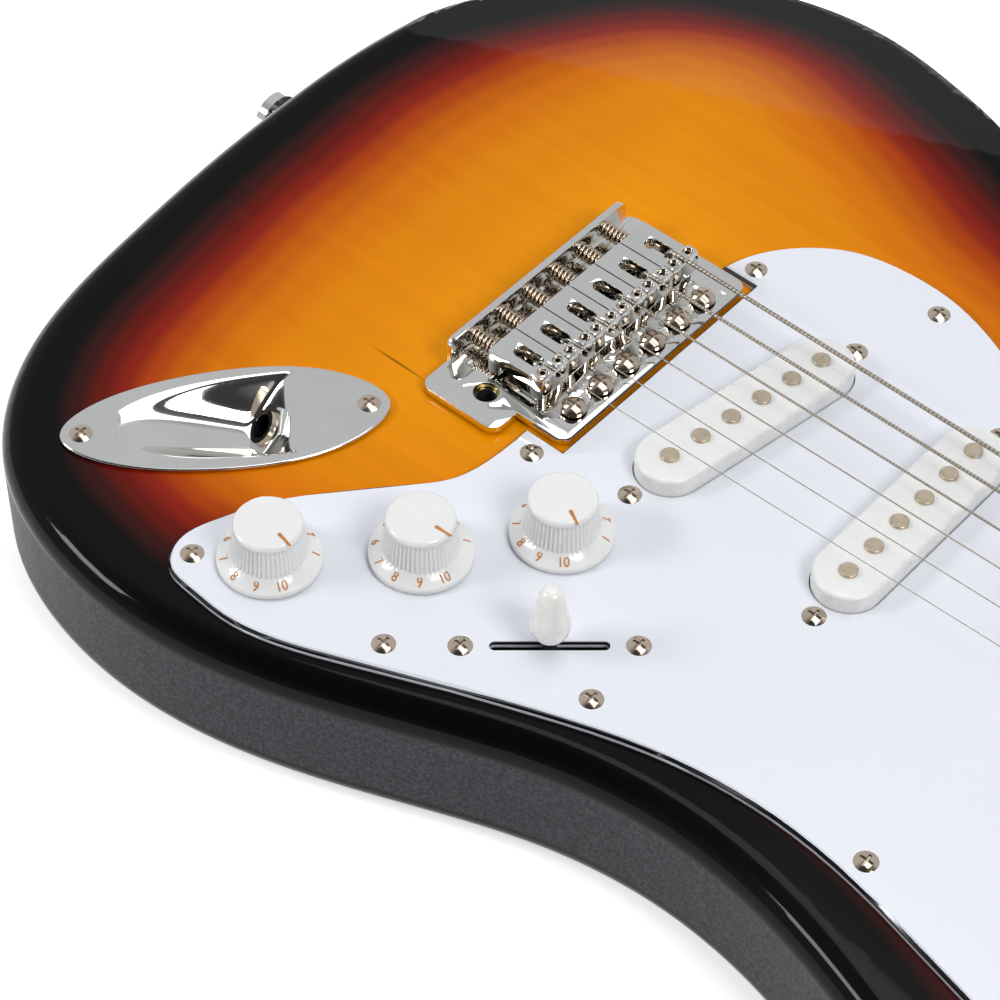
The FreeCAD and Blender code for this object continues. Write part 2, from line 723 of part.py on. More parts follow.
def control_cavity():
    """Rooms for the three potentiometers and the switch, opened into each other."""
    low, radius = -CONTROL_CAVITY_DEPTH, POT_RADIUS + CONTROL_CAVITY_GAP
    volume, tone_1, tone_2 = KNOB_PLACES.values()
    rooms = [post(x, y, low, 1, radius) for x, y in KNOB_PLACES.values()]
    rooms.append(bar_between(volume, tone_1, 2 * POT_RADIUS, low, 1))
    rooms.append(bar_between(tone_1, tone_2, 2 * POT_RADIUS, low, 1))
    rooms.append(bar_between(volume, SWITCH_CENTRE, 2 * radius, low, 1))
    rooms.append(bar_between(tone_1, SWITCH_CENTRE, SWITCH_FLANGE_WIDTH, low, 1))
    room = slab(obround(switch_screw_distance() + 2 * (SWITCH_FLANGE_MARGIN + SWITCH_ROOM_GAP),
                        SWITCH_FLANGE_WIDTH + 2 * SWITCH_ROOM_GAP), low, 1)
    rooms.append(placed(room, SWITCH_CENTRE[0], SWITCH_CENTRE[1], 0, switch_turn() - 90))
    return fuse(rooms)


def jack_cavity():
    """Room for the cup and for the jack behind it, with a bore for its leads."""
    cup = cup_cone(CUP_WALL + JACK_CAVITY_GAP)
    seat = jack_seat()
    way = jack_direction()
    room = rod(seat + way * JACK_ROOM_REACH, seat - way * (JACK_BODY_LENGTH + JACK_LEAD_BORE_RADIUS),
               JACK_BODY_RADIUS + JACK_ROOM_GAP)
    low = jack_point(CUP_END + 6, 0, -JACK_LEAD_DEPTH)
    pot = Vector(*KNOB_PLACES["tone_1"], -JACK_LEAD_DEPTH - JACK_LEAD_BORE_RADIUS)
    lead = rod(low, pot + Vector(-POT_RADIUS / 2, POT_RADIUS * 2 / 3, 0), JACK_LEAD_BORE_RADIUS)
    return [cup, room, lead]


def bridge_route():
    """The opening for the vibrato block and the wider spring cavity behind it."""
    half = BLOCK_HALF_WIDTH + ROUTE_SIDE_GAP
    through = box(route_rear(), route_front(), -half, half, BODY_BOTTOM - 1, 1)
    boss = box(route_rear(), ARM_HOLE_X + ARM_BOSS_RADIUS + ARM_BOSS_GAP,
               ARM_HOLE_Y - ARM_BOSS_RADIUS - ROUTE_SIDE_GAP, 0,
               PLATE_BOTTOM - ARM_HOLE_DEPTH - 2 * ROUTE_GAP, 1)
    half_cavity = SPRING_CAVITY_WIDTH / 2
    springs = rounded_plate(route_rear(), SPRING_CAVITY_END, -half_cavity, half_cavity,
                            BODY_BOTTOM - 1, BODY_BOTTOM + SPRING_CAVITY_DEPTH, SPRING_CAVITY_RADIUS)
    return [through, boss, springs]


def neck_pocket():
    end = NECK_HEEL_X + NECK_HEEL_LENGTH + NECK_POCKET_OVERRUN
    half_start = neck_half_width(NECK_HEEL_X) + NECK_POCKET_GAP
    half_end = neck_half_width(end) + NECK_POCKET_GAP
    outline = polygon([(NECK_HEEL_X - NECK_POCKET_GAP, -half_start), (end, -half_end),
                       (end, half_end), (NECK_HEEL_X - NECK_POCKET_GAP, half_start)])
    return slab(outline, -NECK_POCKET_DEPTH, 1)


def screw_pilots():
    pilots = []
    for x, y, z, way in trim_screw_places():
        pilots.append(rod(Vector(x, y, z), Vector(x, y, z - way * TRIM_SCREW_LENGTH), TRIM_SHANK_RADIUS))
    for y in each_string(BRIDGE_STRING_PITCH):
        bottom = PLATE_TOP + PIVOT_HEAD_GAP - PIVOT_SCREW_LENGTH
        pilots.append(post(PIVOT_X, y, bottom, 1, PIVOT_SCREW_RADIUS))
    for x, y in neck_screw_places():
        pilots.append(post(x, y, BODY_BOTTOM - 1, 1, NECK_SCREW_RADIUS))
    for screw in claw_screw_axes():
        pilots.append(rod(screw[0], screw[1], CLAW_SCREW_RADIUS))
    for place, way in strap_button_places():
        pilots.append(rod(place + way, place - way * STRAP_SCREW_LENGTH, STRAP_SCREW_RADIUS))
    return pilots


def make_body():
    tools = [neck_pocket(), control_cavity(), forearm_contour()]
    tools += bridge_route() + jack_cavity() + screw_pilots()
    for x, slant in pickup_places():
        tools.append(pickup_outline_cut(FLATWORK_LENGTH + 2 * PICKUP_CAVITY_GAP,
                                        COVER_WIDTH + 2 * PICKUP_CAVITY_GAP, -PICKUP_CAVITY_DEPTH, 1,
                                        x, slant))
    side = LEAD_CHANNEL_WIDTH / 2
    tools.append(box(PICKUP_X[0], PICKUP_X[2], LEAD_CHANNEL_Y - side, LEAD_CHANNEL_Y + side,
                     -PICKUP_CAVITY_DEPTH, 1))
    side = CONTROL_CHANNEL_WIDTH / 2
    tools.append(box(PICKUP_X[0] - side, PICKUP_X[0] + side, KNOB_PLACES["volume"][1], LEAD_CHANNEL_Y,
                     -PICKUP_CAVITY_DEPTH, 1))
    body = body_blank()
    for tool in tools:
        body = body.cut(tool)
    return body


def strap_button_places():
    """Seats on the tail and on the tip of the bass horn, with the way each one points."""
    tail = Vector(BODY_TAIL[0] - STRAP_SEAT_GAP, BODY_TAIL[1], BODY_BOTTOM / 2)
    horn = Vector(HORN_TIP[0] + STRAP_SEAT_GAP, HORN_TIP[1], BODY_BOTTOM / 2)
    return [(tail, Vector(-1, 0, 0)), (horn, Vector(1, 0, 0))]


def make_strap_buttons():
    pieces = []
    length = STRAP_BUTTON_LENGTH
    sink = length - STRAP_BUTTON_SINK
    button = fuse([post(0, 0, 0, STRAP_BUTTON_FOOT, STRAP_BUTTON_RADIUS - 0.5),
                   post(0, 0, 0, length, STRAP_BUTTON_NECK),
                   post(0, 0, length - STRAP_BUTTON_HEAD, length, STRAP_BUTTON_RADIUS)])
    button = cut(button, [post(0, 0, sink, length + 1, STRAP_SCREW_HEAD_RADIUS + 0.1),
                          post(0, 0, -1, length, STRAP_SCREW_RADIUS)])
    screw = oval_screw(STRAP_SCREW_HEAD_RADIUS, STRAP_SCREW_HEAD_DOME, STRAP_SCREW_RADIUS,
                       STRAP_SCREW_LENGTH + sink)
    screw.translate(Vector(0, 0, sink))
    for place, way in strap_button_places():
        pieces.append(aimed(button, place, way))
        pieces.append(aimed(screw, place, way))
    return group(pieces)


# --- neck -----------------------------------------------------------------------------------------
def neck_taper(x0, x1, z0, z1):
    a, b = neck_half_width(x0), neck_half_width(x1)
    return slab(polygon([(x0, -a), (x1, -b), (x1, b), (x0, a)]), z0, z1)


def neck_section(x, depth):
    """A half-round section hanging below the fretboard."""
    half = neck_half_width(x)
    top = FRETBOARD_BOTTOM
    low = top - depth
    flat = Part.LineSegment(Vector(x, -half, top), Vector(x, half, top)).toShape()
    curve = Part.BSplineCurve()
    shares = [(1, 0), NECK_SIDE_SHARES, NECK_SHOULDER_SHARES]
    bass = [Vector(x, half * side, top - depth * down) for side, down in shares]
    treble = [Vector(x, -half * side, top - depth * down) for side, down in reversed(shares)]
    curve.interpolate(bass + [Vector(x, 0, low)] + treble)
    return Part.Wire([flat, curve.toShape()])


def headstock_outline():
    posts = post_places()
    turn = math.radians(post_line_turn())
    edge = HOUSING_WIDTH / 2 + 4.0
    start = (posts[0][0] - edge * math.sin(turn) - 4, posts[0][1] + edge * math.cos(turn) + 1.2)
    tip = (posts[-1][0] + HEADSTOCK_NOSE * math.cos(turn) - edge * math.sin(turn),
           posts[-1][1] + HEADSTOCK_NOSE * math.sin(turn) + edge * math.cos(turn))
    bass = [(SCALE_LENGTH + x, y) for x, y in HEADSTOCK_BASS_EDGE[:-1]] + [start]
    treble = [(SCALE_LENGTH + x, y) for x, y in HEADSTOCK_TREBLE_EDGE]
    nose = Part.Arc(Vector(tip[0], tip[1], 0), Vector(tip[0] + 5, (tip[1] + treble[0][1]) / 2, 0),
                    Vector(treble[0][0], treble[0][1], 0)).toShape()
    return Part.Wire([spline(bass), line(start, tip), nose, spline(treble), line(treble[-1], bass[0])])


def make_neck():
    shaft_start = NECK_HEEL_X + NECK_HEEL_LENGTH
    heel = neck_taper(NECK_HEEL_X, shaft_start, -NECK_POCKET_DEPTH, FRETBOARD_BOTTOM)
    shaft = Part.makeLoft([neck_section(shaft_start, NECK_DEPTH_AT_HEEL),
                           neck_section(SCALE_LENGTH, NECK_DEPTH_AT_NUT)], True, True)
    head = slab(headstock_outline(), HEADSTOCK_BOTTOM, HEADSTOCK_TOP)
    shelf = neck_taper(SCALE_LENGTH, SCALE_LENGTH + NUT_THICKNESS + 4, HEADSTOCK_BOTTOM + 2,
                       FRETBOARD_BOTTOM)
    neck = fuse([heel, shaft, shelf, head])
    side = TRUSS_CHANNEL_WIDTH / 2
    channel = box(truss_start(), SCALE_LENGTH - TRUSS_END_GAP, -side, side,
                  truss_z() - side - TRUSS_ROD_COVER, FRETBOARD_BOTTOM)
    tools = [channel]
    for x, y in post_places():
        tools.append(post(x, y, HEADSTOCK_BOTTOM - 1, HEADSTOCK_TOP + 1, BUSHING_RADIUS))
    for x, y in neck_screw_places():
        top = BODY_BOTTOM - NECK_PLATE_THICKNESS + NECK_SCREW_LENGTH
        tools.append(post(x, y, -NECK_POCKET_DEPTH - 1, top, NECK_SCREW_RADIUS))
    for index in range(STRING_COUNT):
        for side in (-1, 1):
            hole = post(side * housing_screw_offset(), 0, -1, HOUSING_SCREW_LENGTH, HOUSING_SCREW_RADIUS)
            tools.append(in_tuner_frame(hole, index))
    for x, y, _ in tree_places():
        tools.append(post(x, y, HEADSTOCK_TOP - HOUSING_SCREW_LENGTH, HEADSTOCK_TOP + 1,
                          HOUSING_SCREW_RADIUS))
    for tool in tools:
        neck = neck.cut(tool)
    return neck


def crown(radius):
    """The round top that the fretboard and the frets follow."""
    axis_z = FRETBOARD_TOP - FRETBOARD_RADIUS
    return Part.makeCylinder(radius, SCALE_LENGTH, Vector(NECK_HEEL_X - 20, 0, axis_z), X_AXIS)


def dot_places():
    def middle(number):
        return (fret_x(number) + fret_x(number - 1)) / 2

    dots = [(middle(number), 0.0) for number in DOT_FRETS]
    dots += [(middle(OCTAVE_FRET), side * OCTAVE_DOT_SPACING / 2) for side in (-1, 1)]
    return dots


def make_dots():
    low = FRETBOARD_TOP - DOT_DEPTH
    return group([post(x, y, low, FRETBOARD_TOP + 1, DOT_RADIUS).common(crown(FRETBOARD_RADIUS))
                  for x, y in dot_places()])


def make_fretboard():
    board = neck_taper(NECK_HEEL_X, SCALE_LENGTH, FRETBOARD_BOTTOM, FRETBOARD_TOP + 1)
    board = board.common(crown(FRETBOARD_RADIUS))
    pockets = [post(x, y, FRETBOARD_TOP - DOT_DEPTH, FRETBOARD_TOP + 1, DOT_RADIUS)
               for x, y in dot_places()]
    return cut(board, pockets)


def make_frets():
    sheet = neck_taper(NECK_HEEL_X, SCALE_LENGTH, FRETBOARD_TOP - 4, FRETBOARD_TOP + 3)
    sheet = sheet.common(crown(FRETBOARD_RADIUS + FRET_HEIGHT)).cut(crown(FRETBOARD_RADIUS))
    frets = []
    for number in range(1, FRET_COUNT + 1):
        x = fret_x(number)
        frets.append(sheet.common(box(x - FRET_WIDTH / 2, x + FRET_WIDTH / 2, -40, 40, 0, 20)))
    return group(frets)


def make_nut():
    nut = neck_taper(SCALE_LENGTH, SCALE_LENGTH + NUT_THICKNESS, FRETBOARD_BOTTOM, NUT_TOP)
    slots = []
    for y, radius in zip(each_string(NUT_STRING_PITCH), STRING_RADII):
        width = radius + STRING_SEAT_GAP
        slots.append(box(SCALE_LENGTH - 1, SCALE_LENGTH + NUT_THICKNESS + 1, y - width, y + width,
                         NUT_SLOT_FLOOR, NUT_TOP + 1))
    return cut(nut, slots)


def truss_start():
    return NECK_HEEL_X + TRUSS_END_GAP / 2


def truss_z():
    return FRETBOARD_BOTTOM - 2 * TRUSS_ROD_RADIUS - TRUSS_ROD_COVER


def make_truss_rod():
    start = Vector(truss_start(), 0, truss_z())
    end = Vector(SCALE_LENGTH - TRUSS_END_GAP - TRUSS_ROD_COVER, 0, truss_z())
    bar = rod(start, end, TRUSS_ROD_RADIUS)
    nut_end = start + Vector(TRUSS_NUT_LENGTH, 0, 0)
    nut = rod(start, nut_end, TRUSS_CHANNEL_WIDTH / 2 - STRING_SEAT_GAP)
    return bar.fuse(nut).removeSplitter()


def make_neck_plate():
    x, half = neck_plate_centre(), NECK_PLATE_LENGTH / 2
    plate = rounded_plate(x - half, x + half, -NECK_PLATE_WIDTH / 2, NECK_PLATE_WIDTH / 2,
                          BODY_BOTTOM - NECK_PLATE_THICKNESS, BODY_BOTTOM, NECK_PLATE_CORNER_RADIUS)
    holes = [post(px, py, BODY_BOTTOM - 5, BODY_BOTTOM + 1, NECK_SCREW_RADIUS)
             for px, py in neck_screw_places()]
    return cut(plate, holes)


def make_neck_plate_screws():
    screw = oval_screw(NECK_SCREW_HEAD_RADIUS, NECK_SCREW_HEAD_DOME, NECK_SCREW_RADIUS,
                       NECK_SCREW_LENGTH)
    seat = BODY_BOTTOM - NECK_PLATE_THICKNESS
    return group([aimed(screw, Vector(x, y, seat), Vector(0, 0, -1)) for x, y in neck_screw_places()])


# --- tuners ---------------------------------------------------------------------------------------
def make_tuner_bushings():
    top = HEADSTOCK_TOP
    sleeve = fuse([ring(BUSHING_RADIUS, POST_RADIUS + POST_CLEARANCE, top - BUSHING_LENGTH, top),
                   ring(BUSHING_FLANGE_RADIUS, POST_RADIUS + POST_CLEARANCE, top,
                        top + BUSHING_FLANGE_THICKNESS)])
    return group([placed(sleeve, x, y) for x, y in post_places()])


def make_tuner_housings():
    """Closed boxes on the back of the headstock, each on its own screwed plate."""
    reach = housing_reach()
    rear = GEAR_RADIUS + GEAR_ROOM_GAP + HOUSING_WALL
    half = HOUSING_WIDTH / 2
    plate_half = housing_screw_offset() + HOUSING_PLATE_MARGIN
    plate_side = HOUSING_PLATE_WIDTH / 2
    shell = box(-rear, reach, -half, half, -HOUSING_DEPTH, 0)
    plate = rounded_plate(-plate_half, plate_half, -plate_side, plate_side,
                          -HOUSING_PLATE_THICKNESS, 0, HOUSING_PLATE_WIDTH * 0.3)
    room = box(-rear + HOUSING_WALL, reach - HOUSING_WALL, -half + HOUSING_WALL, half - HOUSING_WALL,
               -HOUSING_DEPTH + HOUSING_WALL, -HOUSING_PLATE_THICKNESS)
    shaft = rod(Vector(worm_offset(), -half + 0.4, worm_z()), Vector(worm_offset(), half + 1, worm_z()),
                BUTTON_SHAFT_RADIUS + POST_CLEARANCE)
    hole = post(0, 0, -HOUSING_PLATE_THICKNESS - 1, 1, POST_RADIUS + POST_CLEARANCE)
    housing = fuse([shell, plate])
    screws = [post(side * housing_screw_offset(), 0, -20, 1, HOUSING_SCREW_RADIUS) for side in (-1, 1)]
    housing = cut(housing, [room, shaft, hole] + screws)
    return group([in_tuner_frame(housing, index) for index in range(STRING_COUNT)])


def worm_z():
    return -HOUSING_DEPTH / 2 - 0.3


def make_tuner_button(index):
    """A worm shaft with the button that turns it."""
    half = HOUSING_WIDTH / 2
    x, z = worm_offset(), worm_z()
    inner = half - HOUSING_WALL - 0.3
    start = half + BUTTON_EDGE_GAP
    worm = rod(Vector(x, -inner, z), Vector(x, inner, z), WORM_RADIUS)
    shaft = rod(Vector(x, -half + 0.5, z), Vector(x, start + 3, z), BUTTON_SHAFT_RADIUS)
    collar_radius = BUTTON_SHAFT_RADIUS + BUTTON_COLLAR_WALL
    collar = rod(Vector(x, start - 2, z), Vector(x, start + 1, z), collar_radius)
    grip = box(x - BUTTON_WIDTH / 2, x + BUTTON_WIDTH / 2, start, start + BUTTON_LENGTH,
               z - BUTTON_THICKNESS / 2, z + BUTTON_THICKNESS / 2)
    upright = [edge for edge in grip.Edges if edge.BoundBox.ZLength > BUTTON_THICKNESS / 2]
    grip = grip.makeFillet(BUTTON_LENGTH * 0.42, upright)
    grip = grip.makeFillet(BUTTON_EDGE_RADIUS, grip.Edges)
    return in_tuner_frame(fuse([worm, shaft, collar, grip]), index)


def make_tuner_post(index):
    """A post with its worm wheel, its string hole and the turns of string wound on it."""
    wheel_z = worm_z() - GEAR_THICKNESS / 2
    height = HEADSTOCK_THICKNESS + POST_RISE
    stem = fuse([post(0, 0, wheel_z, height, POST_RADIUS),
                 post(0, 0, wheel_z, wheel_z + GEAR_THICKNESS, GEAR_RADIUS)])
    winding_z = WINDING_Z - HEADSTOCK_BOTTOM
    hole = rod(Vector(-9, 0, winding_z + 5), Vector(9, 0, winding_z + 5), POST_HOLE_RADIUS)
    stem = stem.cut(hole)
    turns = ring(WINDING_RADIUS, POST_RADIUS, winding_z - WINDING_LENGTH / 2,
                 winding_z + WINDING_LENGTH / 2)
    return in_tuner_frame(group([stem, turns]), index)


def make_headstock_screws():
    head = oval_screw(HOUSING_SCREW_HEAD_RADIUS, HOUSING_SCREW_HEAD_DOME, HOUSING_SCREW_RADIUS,
                      HOUSING_SCREW_LENGTH)
    screws = []
    for index in range(STRING_COUNT):
        for side in (-1, 1):
            seat = Vector(side * housing_screw_offset(), 0, -HOUSING_PLATE_THICKNESS)
            screws.append(in_tuner_frame(aimed(head, seat, Vector(0, 0, -1)), index))
    for x, y, low in tree_places():
        top = low + TREE_THICKNESS
        long_screw = oval_screw(HOUSING_SCREW_HEAD_RADIUS, HOUSING_SCREW_HEAD_DOME, HOUSING_SCREW_RADIUS,
                                top - HEADSTOCK_TOP + HOUSING_SCREW_LENGTH)
        screws.append(placed(long_screw, x, y, top))
    return group(screws)


def tree_places():
    """String trees between neighbouring high strings: plan place and underside, just over the strings."""
    ys = each_string(NUT_STRING_PITCH)
    trees = []
    for distance, string in zip(TREE_DISTANCE, TREE_STRINGS):
        x = SCALE_LENGTH + distance
        share = (distance - NUT_THICKNESS) / (post_places()[string][0] - SCALE_LENGTH - NUT_THICKNESS)
        start = NUT_SLOT_FLOOR + 2 * (STRING_RADII[string] + STRING_SEAT_GAP)
        low = start + (WINDING_Z - start) * share + TREE_STRING_GAP
        trees.append((x, (ys[string] + ys[string - 1]) / 2, low))
    return trees


def make_string_trees():
    trees = []
    for x, y, low in tree_places():
        tree = fuse([post(0, 0, HEADSTOCK_TOP, low, TREE_STEM_RADIUS),
                     post(0, 0, low, low + TREE_THICKNESS, TREE_RADIUS)])
        tree = tree.cut(post(0, 0, HEADSTOCK_TOP - 1, low + 5, HOUSING_SCREW_RADIUS))
        trees.append(placed(tree, x, y))
    return group(trees)


# --- bridge ---------------------------------------------------------------------------------------
def make_bridge_plate():
    main = box(PLATE_REAR, PLATE_FRONT, PLATE_TREBLE_Y, PLATE_BASS_Y, PLATE_BOTTOM, PLATE_TOP)
    wing = box(PLATE_REAR, PLATE_WING_FRONT, PLATE_WING_Y, PLATE_TREBLE_Y, PLATE_BOTTOM, PLATE_TOP)
    plate = fuse([main, wing])

    def outer_corner(edge):
        box_ = edge.BoundBox
        upright = box_.ZLength > PLATE_THICKNESS / 2
        step = abs(box_.XMin - PLATE_WING_FRONT) < 0.01 and abs(box_.YMin - PLATE_TREBLE_Y) < 0.01
        return upright and not step

    plate = plate.makeFillet(PLATE_CORNER_RADIUS, [edge for edge in plate.Edges if outer_corner(edge)])
    flange = box(PLATE_REAR, PLATE_REAR + FLANGE_THICKNESS, PLATE_TREBLE_Y + FLANGE_END_INSET,
                 PLATE_BASS_Y - PLATE_CORNER_RADIUS, PLATE_BOTTOM + PLATE_THICKNESS / 2, FLANGE_TOP)
    top_ends = [edge for edge in flange.Edges
                if edge.BoundBox.XLength > FLANGE_THICKNESS / 2 and edge.BoundBox.ZMin > PLATE_TOP]
    flange = flange.makeFillet(2.5, top_ends)
    plate = fuse([plate, flange])
    tools = [post(ARM_HOLE_X, ARM_HOLE_Y, 0, 9, ARM_HOLE_RADIUS + 0.7)]
    for y in each_string(BRIDGE_STRING_PITCH):
        tools.append(post(PIVOT_X, y, 0, 9, PIVOT_HOLE_RADIUS))
        tools.append(post(STRING_HOLE_X, y, 0, 9, STRING_HOLE_RADIUS))
        tools.append(rod(Vector(PLATE_REAR - 1, y, INTONATION_SCREW_Z),
                         Vector(PLATE_REAR + 5, y, INTONATION_SCREW_Z), INTONATION_SCREW_RADIUS))
    for y in block_screw_ys():
        tools.append(post(BLOCK_SCREW_X, y, 0, 9, BLOCK_SCREW_RADIUS))
        tools.append(Part.makeCone(BLOCK_SCREW_RADIUS, BLOCK_SCREW_HEAD_RADIUS,
                                   BLOCK_SCREW_HEAD_RADIUS - BLOCK_SCREW_RADIUS,
                                   Vector(BLOCK_SCREW_X, y,
                                          PLATE_TOP - BLOCK_SCREW_HEAD_RADIUS + BLOCK_SCREW_RADIUS)))
    return cut(plate, tools)


def block_screw_ys():
    return [step * BRIDGE_STRING_PITCH for step in BLOCK_SCREW_STRING_GAPS]


def make_tremolo_block():
    block = box(BLOCK_REAR, BLOCK_FRONT, -BLOCK_HALF_WIDTH, BLOCK_HALF_WIDTH, BLOCK_BOTTOM, PLATE_BOTTOM)
    boss = post(ARM_HOLE_X, ARM_HOLE_Y, PLATE_BOTTOM - ARM_HOLE_DEPTH - 3, PLATE_BOTTOM, ARM_BOSS_RADIUS)
    block = fuse([block, boss])
    tools = [post(ARM_HOLE_X, ARM_HOLE_Y, PLATE_BOTTOM - ARM_HOLE_DEPTH, 9, ARM_HOLE_RADIUS)]
    for y in each_string(BRIDGE_STRING_PITCH):
        tools.append(post(STRING_HOLE_X, y, BALL_POCKET_TOP, 9, STRING_HOLE_RADIUS))
        tools.append(post(STRING_HOLE_X, y, BLOCK_BOTTOM - 1, BALL_POCKET_TOP, BALL_POCKET_RADIUS))
    for y in block_screw_ys():
        tools.append(post(BLOCK_SCREW_X, y, PLATE_TOP - BLOCK_SCREW_LENGTH, 9, BLOCK_SCREW_RADIUS))
    for y in spring_ys():
        tools.append(rod(Vector(BLOCK_FRONT - 9, y, SPRING_Z), Vector(BLOCK_FRONT + 1, y, SPRING_Z),
                         SPRING_WIRE_RADIUS + 0.5))
    return cut(block, tools)


def groove_floor():
    """Height of the bottom of the string groove in a saddle's crown."""
    return SADDLE_TOP + SADDLE_CROWN_RISE - SADDLE_GROOVE_DEPTH


def make_saddle():
    """One block saddle about its own string line."""
    half = (BRIDGE_STRING_PITCH - SADDLE_GAP) / 2
    top = box(SADDLE_REAR, HEIGHT_SCREW_X - 1.5, -half, half, SADDLE_BOTTOM, SADDLE_TOP)
    rear = box(SADDLE_REAR, SADDLE_REAR + SADDLE_REAR_WALL, -half, half,
               INTONATION_SCREW_Z - SADDLE_REAR_DROP, SADDLE_TOP)
    front = box(HEIGHT_SCREW_X - 2.2, SADDLE_FRONT, -half, half, SADDLE_FRONT_BOTTOM,
                SADDLE_TOP + SADDLE_CROWN_RISE)
    front = front.makeFillet(SADDLE_FRONT_RADIUS,
                             [edge for edge in front.Edges if edge.BoundBox.YLength > half])
    saddle = fuse([top, rear, front])
    length = SADDLE_SLOT_FRONT - SADDLE_SLOT_REAR
    slot = slab(obround(length, SADDLE_SLOT_WIDTH), 0, SADDLE_TOP + 3)
    slot = placed(slot, (SADDLE_SLOT_FRONT + SADDLE_SLOT_REAR) / 2, 0, 0, 90)
    groove_z = groove_floor() + SADDLE_GROOVE_RADIUS
    tools = [slot]
    tools.append(rod(Vector(-3, 0, groove_z), Vector(SADDLE_FRONT + 1, 0, groove_z),
                     SADDLE_GROOVE_RADIUS))
    for side in (-1, 1):
        tools.append(post(HEIGHT_SCREW_X, side * HEIGHT_SCREW_OFFSET, 0, 20, HEIGHT_SCREW_RADIUS))
    tools.append(rod(Vector(SADDLE_REAR - 1, 0, INTONATION_SCREW_Z),
                     Vector(SADDLE_REAR + SADDLE_REAR_WALL + 1, 0, INTONATION_SCREW_Z),
                     INTONATION_SCREW_RADIUS))
    return cut(saddle, tools)


def make_saddles():
    saddle = make_saddle()
    return group([placed(saddle, 0, y) for y in each_string(BRIDGE_STRING_PITCH)])


def make_bridge_screws():
    """Block screws, saddle height screws and intonation screws."""
    screws = []
    head_height = BLOCK_SCREW_HEAD_RADIUS - BLOCK_SCREW_RADIUS
    for y in block_screw_ys():
        seat = PLATE_TOP - head_height
        head = Part.makeCone(BLOCK_SCREW_RADIUS, BLOCK_SCREW_HEAD_RADIUS, head_height, Vector(0, 0, seat))
        shank = post(0, 0, PLATE_TOP - BLOCK_SCREW_LENGTH, seat, BLOCK_SCREW_RADIUS)
        screw = fuse([head, shank]).cut(cross_recess(BLOCK_SCREW_HEAD_RADIUS, PLATE_TOP))
        screws.append(placed(screw, BLOCK_SCREW_X, y))
    grub = post(0, 0, PLATE_TOP, SADDLE_TOP - 0.2, HEIGHT_SCREW_RADIUS)
    socket = slab(polygon([(HEX_SOCKET_RADIUS * math.cos(math.radians(60 * k)),
                            HEX_SOCKET_RADIUS * math.sin(math.radians(60 * k))) for k in range(6)]),
                  SADDLE_TOP - 2, SADDLE_TOP)
    grub = grub.cut(socket)
    long_screw = pan_screw(INTONATION_HEAD_RADIUS, INTONATION_HEAD_LENGTH, INTONATION_SCREW_RADIUS,
                           SADDLE_REAR + SADDLE_REAR_WALL - PLATE_REAR)
    for y in each_string(BRIDGE_STRING_PITCH):
        for side in (-1, 1):
            screws.append(placed(grub, HEIGHT_SCREW_X, y + side * HEIGHT_SCREW_OFFSET))
        screws.append(aimed(long_screw, Vector(PLATE_REAR, y, INTONATION_SCREW_Z), Vector(-1, 0, 0)))
    return group(screws)


def make_intonation_springs():
    start, end = PLATE_REAR + FLANGE_THICKNESS, SADDLE_REAR
    spring = ring(INTONATION_SPRING_RADIUS, INTONATION_SCREW_RADIUS + 0.1, 0, end - start)
    return group([aimed(spring, Vector(start, y, INTONATION_SCREW_Z), X_AXIS)
                  for y in each_string(BRIDGE_STRING_PITCH)])


def make_ball_ends():
    top = BALL_POCKET_TOP
    return group([post(STRING_HOLE_X, y, top - BALL_LENGTH, top, BALL_RADIUS)
                  for y in each_string(BRIDGE_STRING_PITCH)])


def make_pivot_screws():
    screw = pan_screw(PIVOT_HEAD_RADIUS, PIVOT_HEAD_HEIGHT, PIVOT_SCREW_RADIUS, PIVOT_SCREW_LENGTH)
    seat = PLATE_TOP + PIVOT_HEAD_GAP
    return group([placed(screw, PIVOT_X, y, seat) for y in each_string(BRIDGE_STRING_PITCH)])


def make_strings():
    """Each string: up through the block, over its saddle, straight to the nut, on to its post."""
    strings = []
    rows = zip(each_string(BRIDGE_STRING_PITCH), each_string(NUT_STRING_PITCH), STRING_RADII,
               post_places())
    for y, nut_y, radius, peg in rows:
        lift = radius + STRING_SEAT_GAP
        points = [Vector(STRING_HOLE_X, y, BALL_POCKET_TOP), Vector(STRING_HOLE_X, y, PLATE_TOP),
                  Vector(SADDLE_SLOT_FRONT - 0.9, y, groove_floor() + lift),
                  Vector(SADDLE_FRONT, y, groove_floor() + lift),
                  Vector(SCALE_LENGTH + NUT_THICKNESS, nut_y, NUT_SLOT_FLOOR + lift),
                  Vector(peg[0], peg[1] - WINDING_RADIUS - lift, WINDING_Z)]
        strings.append(bent_rod(points, radius, STRING_BEND_RADIUS))
    return group(strings)


# --- vibrato springs ---------------------------------------------------------------------------------
def spring_ys():
    middle = (SPRING_COUNT - 1) / 2
    return [(index - middle) * SPRING_PITCH for index in range(SPRING_COUNT)]


def make_tremolo_springs():
    springs = []
    for y in spring_ys():
        coil = rod(Vector(SPRING_COIL_START, y, SPRING_Z), Vector(SPRING_COIL_END, y, SPRING_Z),
                   SPRING_RADIUS)
        hollow = rod(Vector(SPRING_COIL_START + 1, y, SPRING_Z), Vector(SPRING_COIL_END - 1, y, SPRING_Z),
                     SPRING_RADIUS - 2 * SPRING_WIRE_RADIUS)
        hook = rod(Vector(BLOCK_FRONT - 8, y, SPRING_Z), Vector(SPRING_COIL_START + 0.5, y, SPRING_Z),
                   SPRING_WIRE_RADIUS)
        tail = rod(Vector(SPRING_COIL_END - 0.5, y, SPRING_Z), Vector(CLAW_X, y, SPRING_Z),
                   SPRING_WIRE_RADIUS)
        springs.append(fuse([coil.cut(hollow), hook, tail]))
    return group(springs)


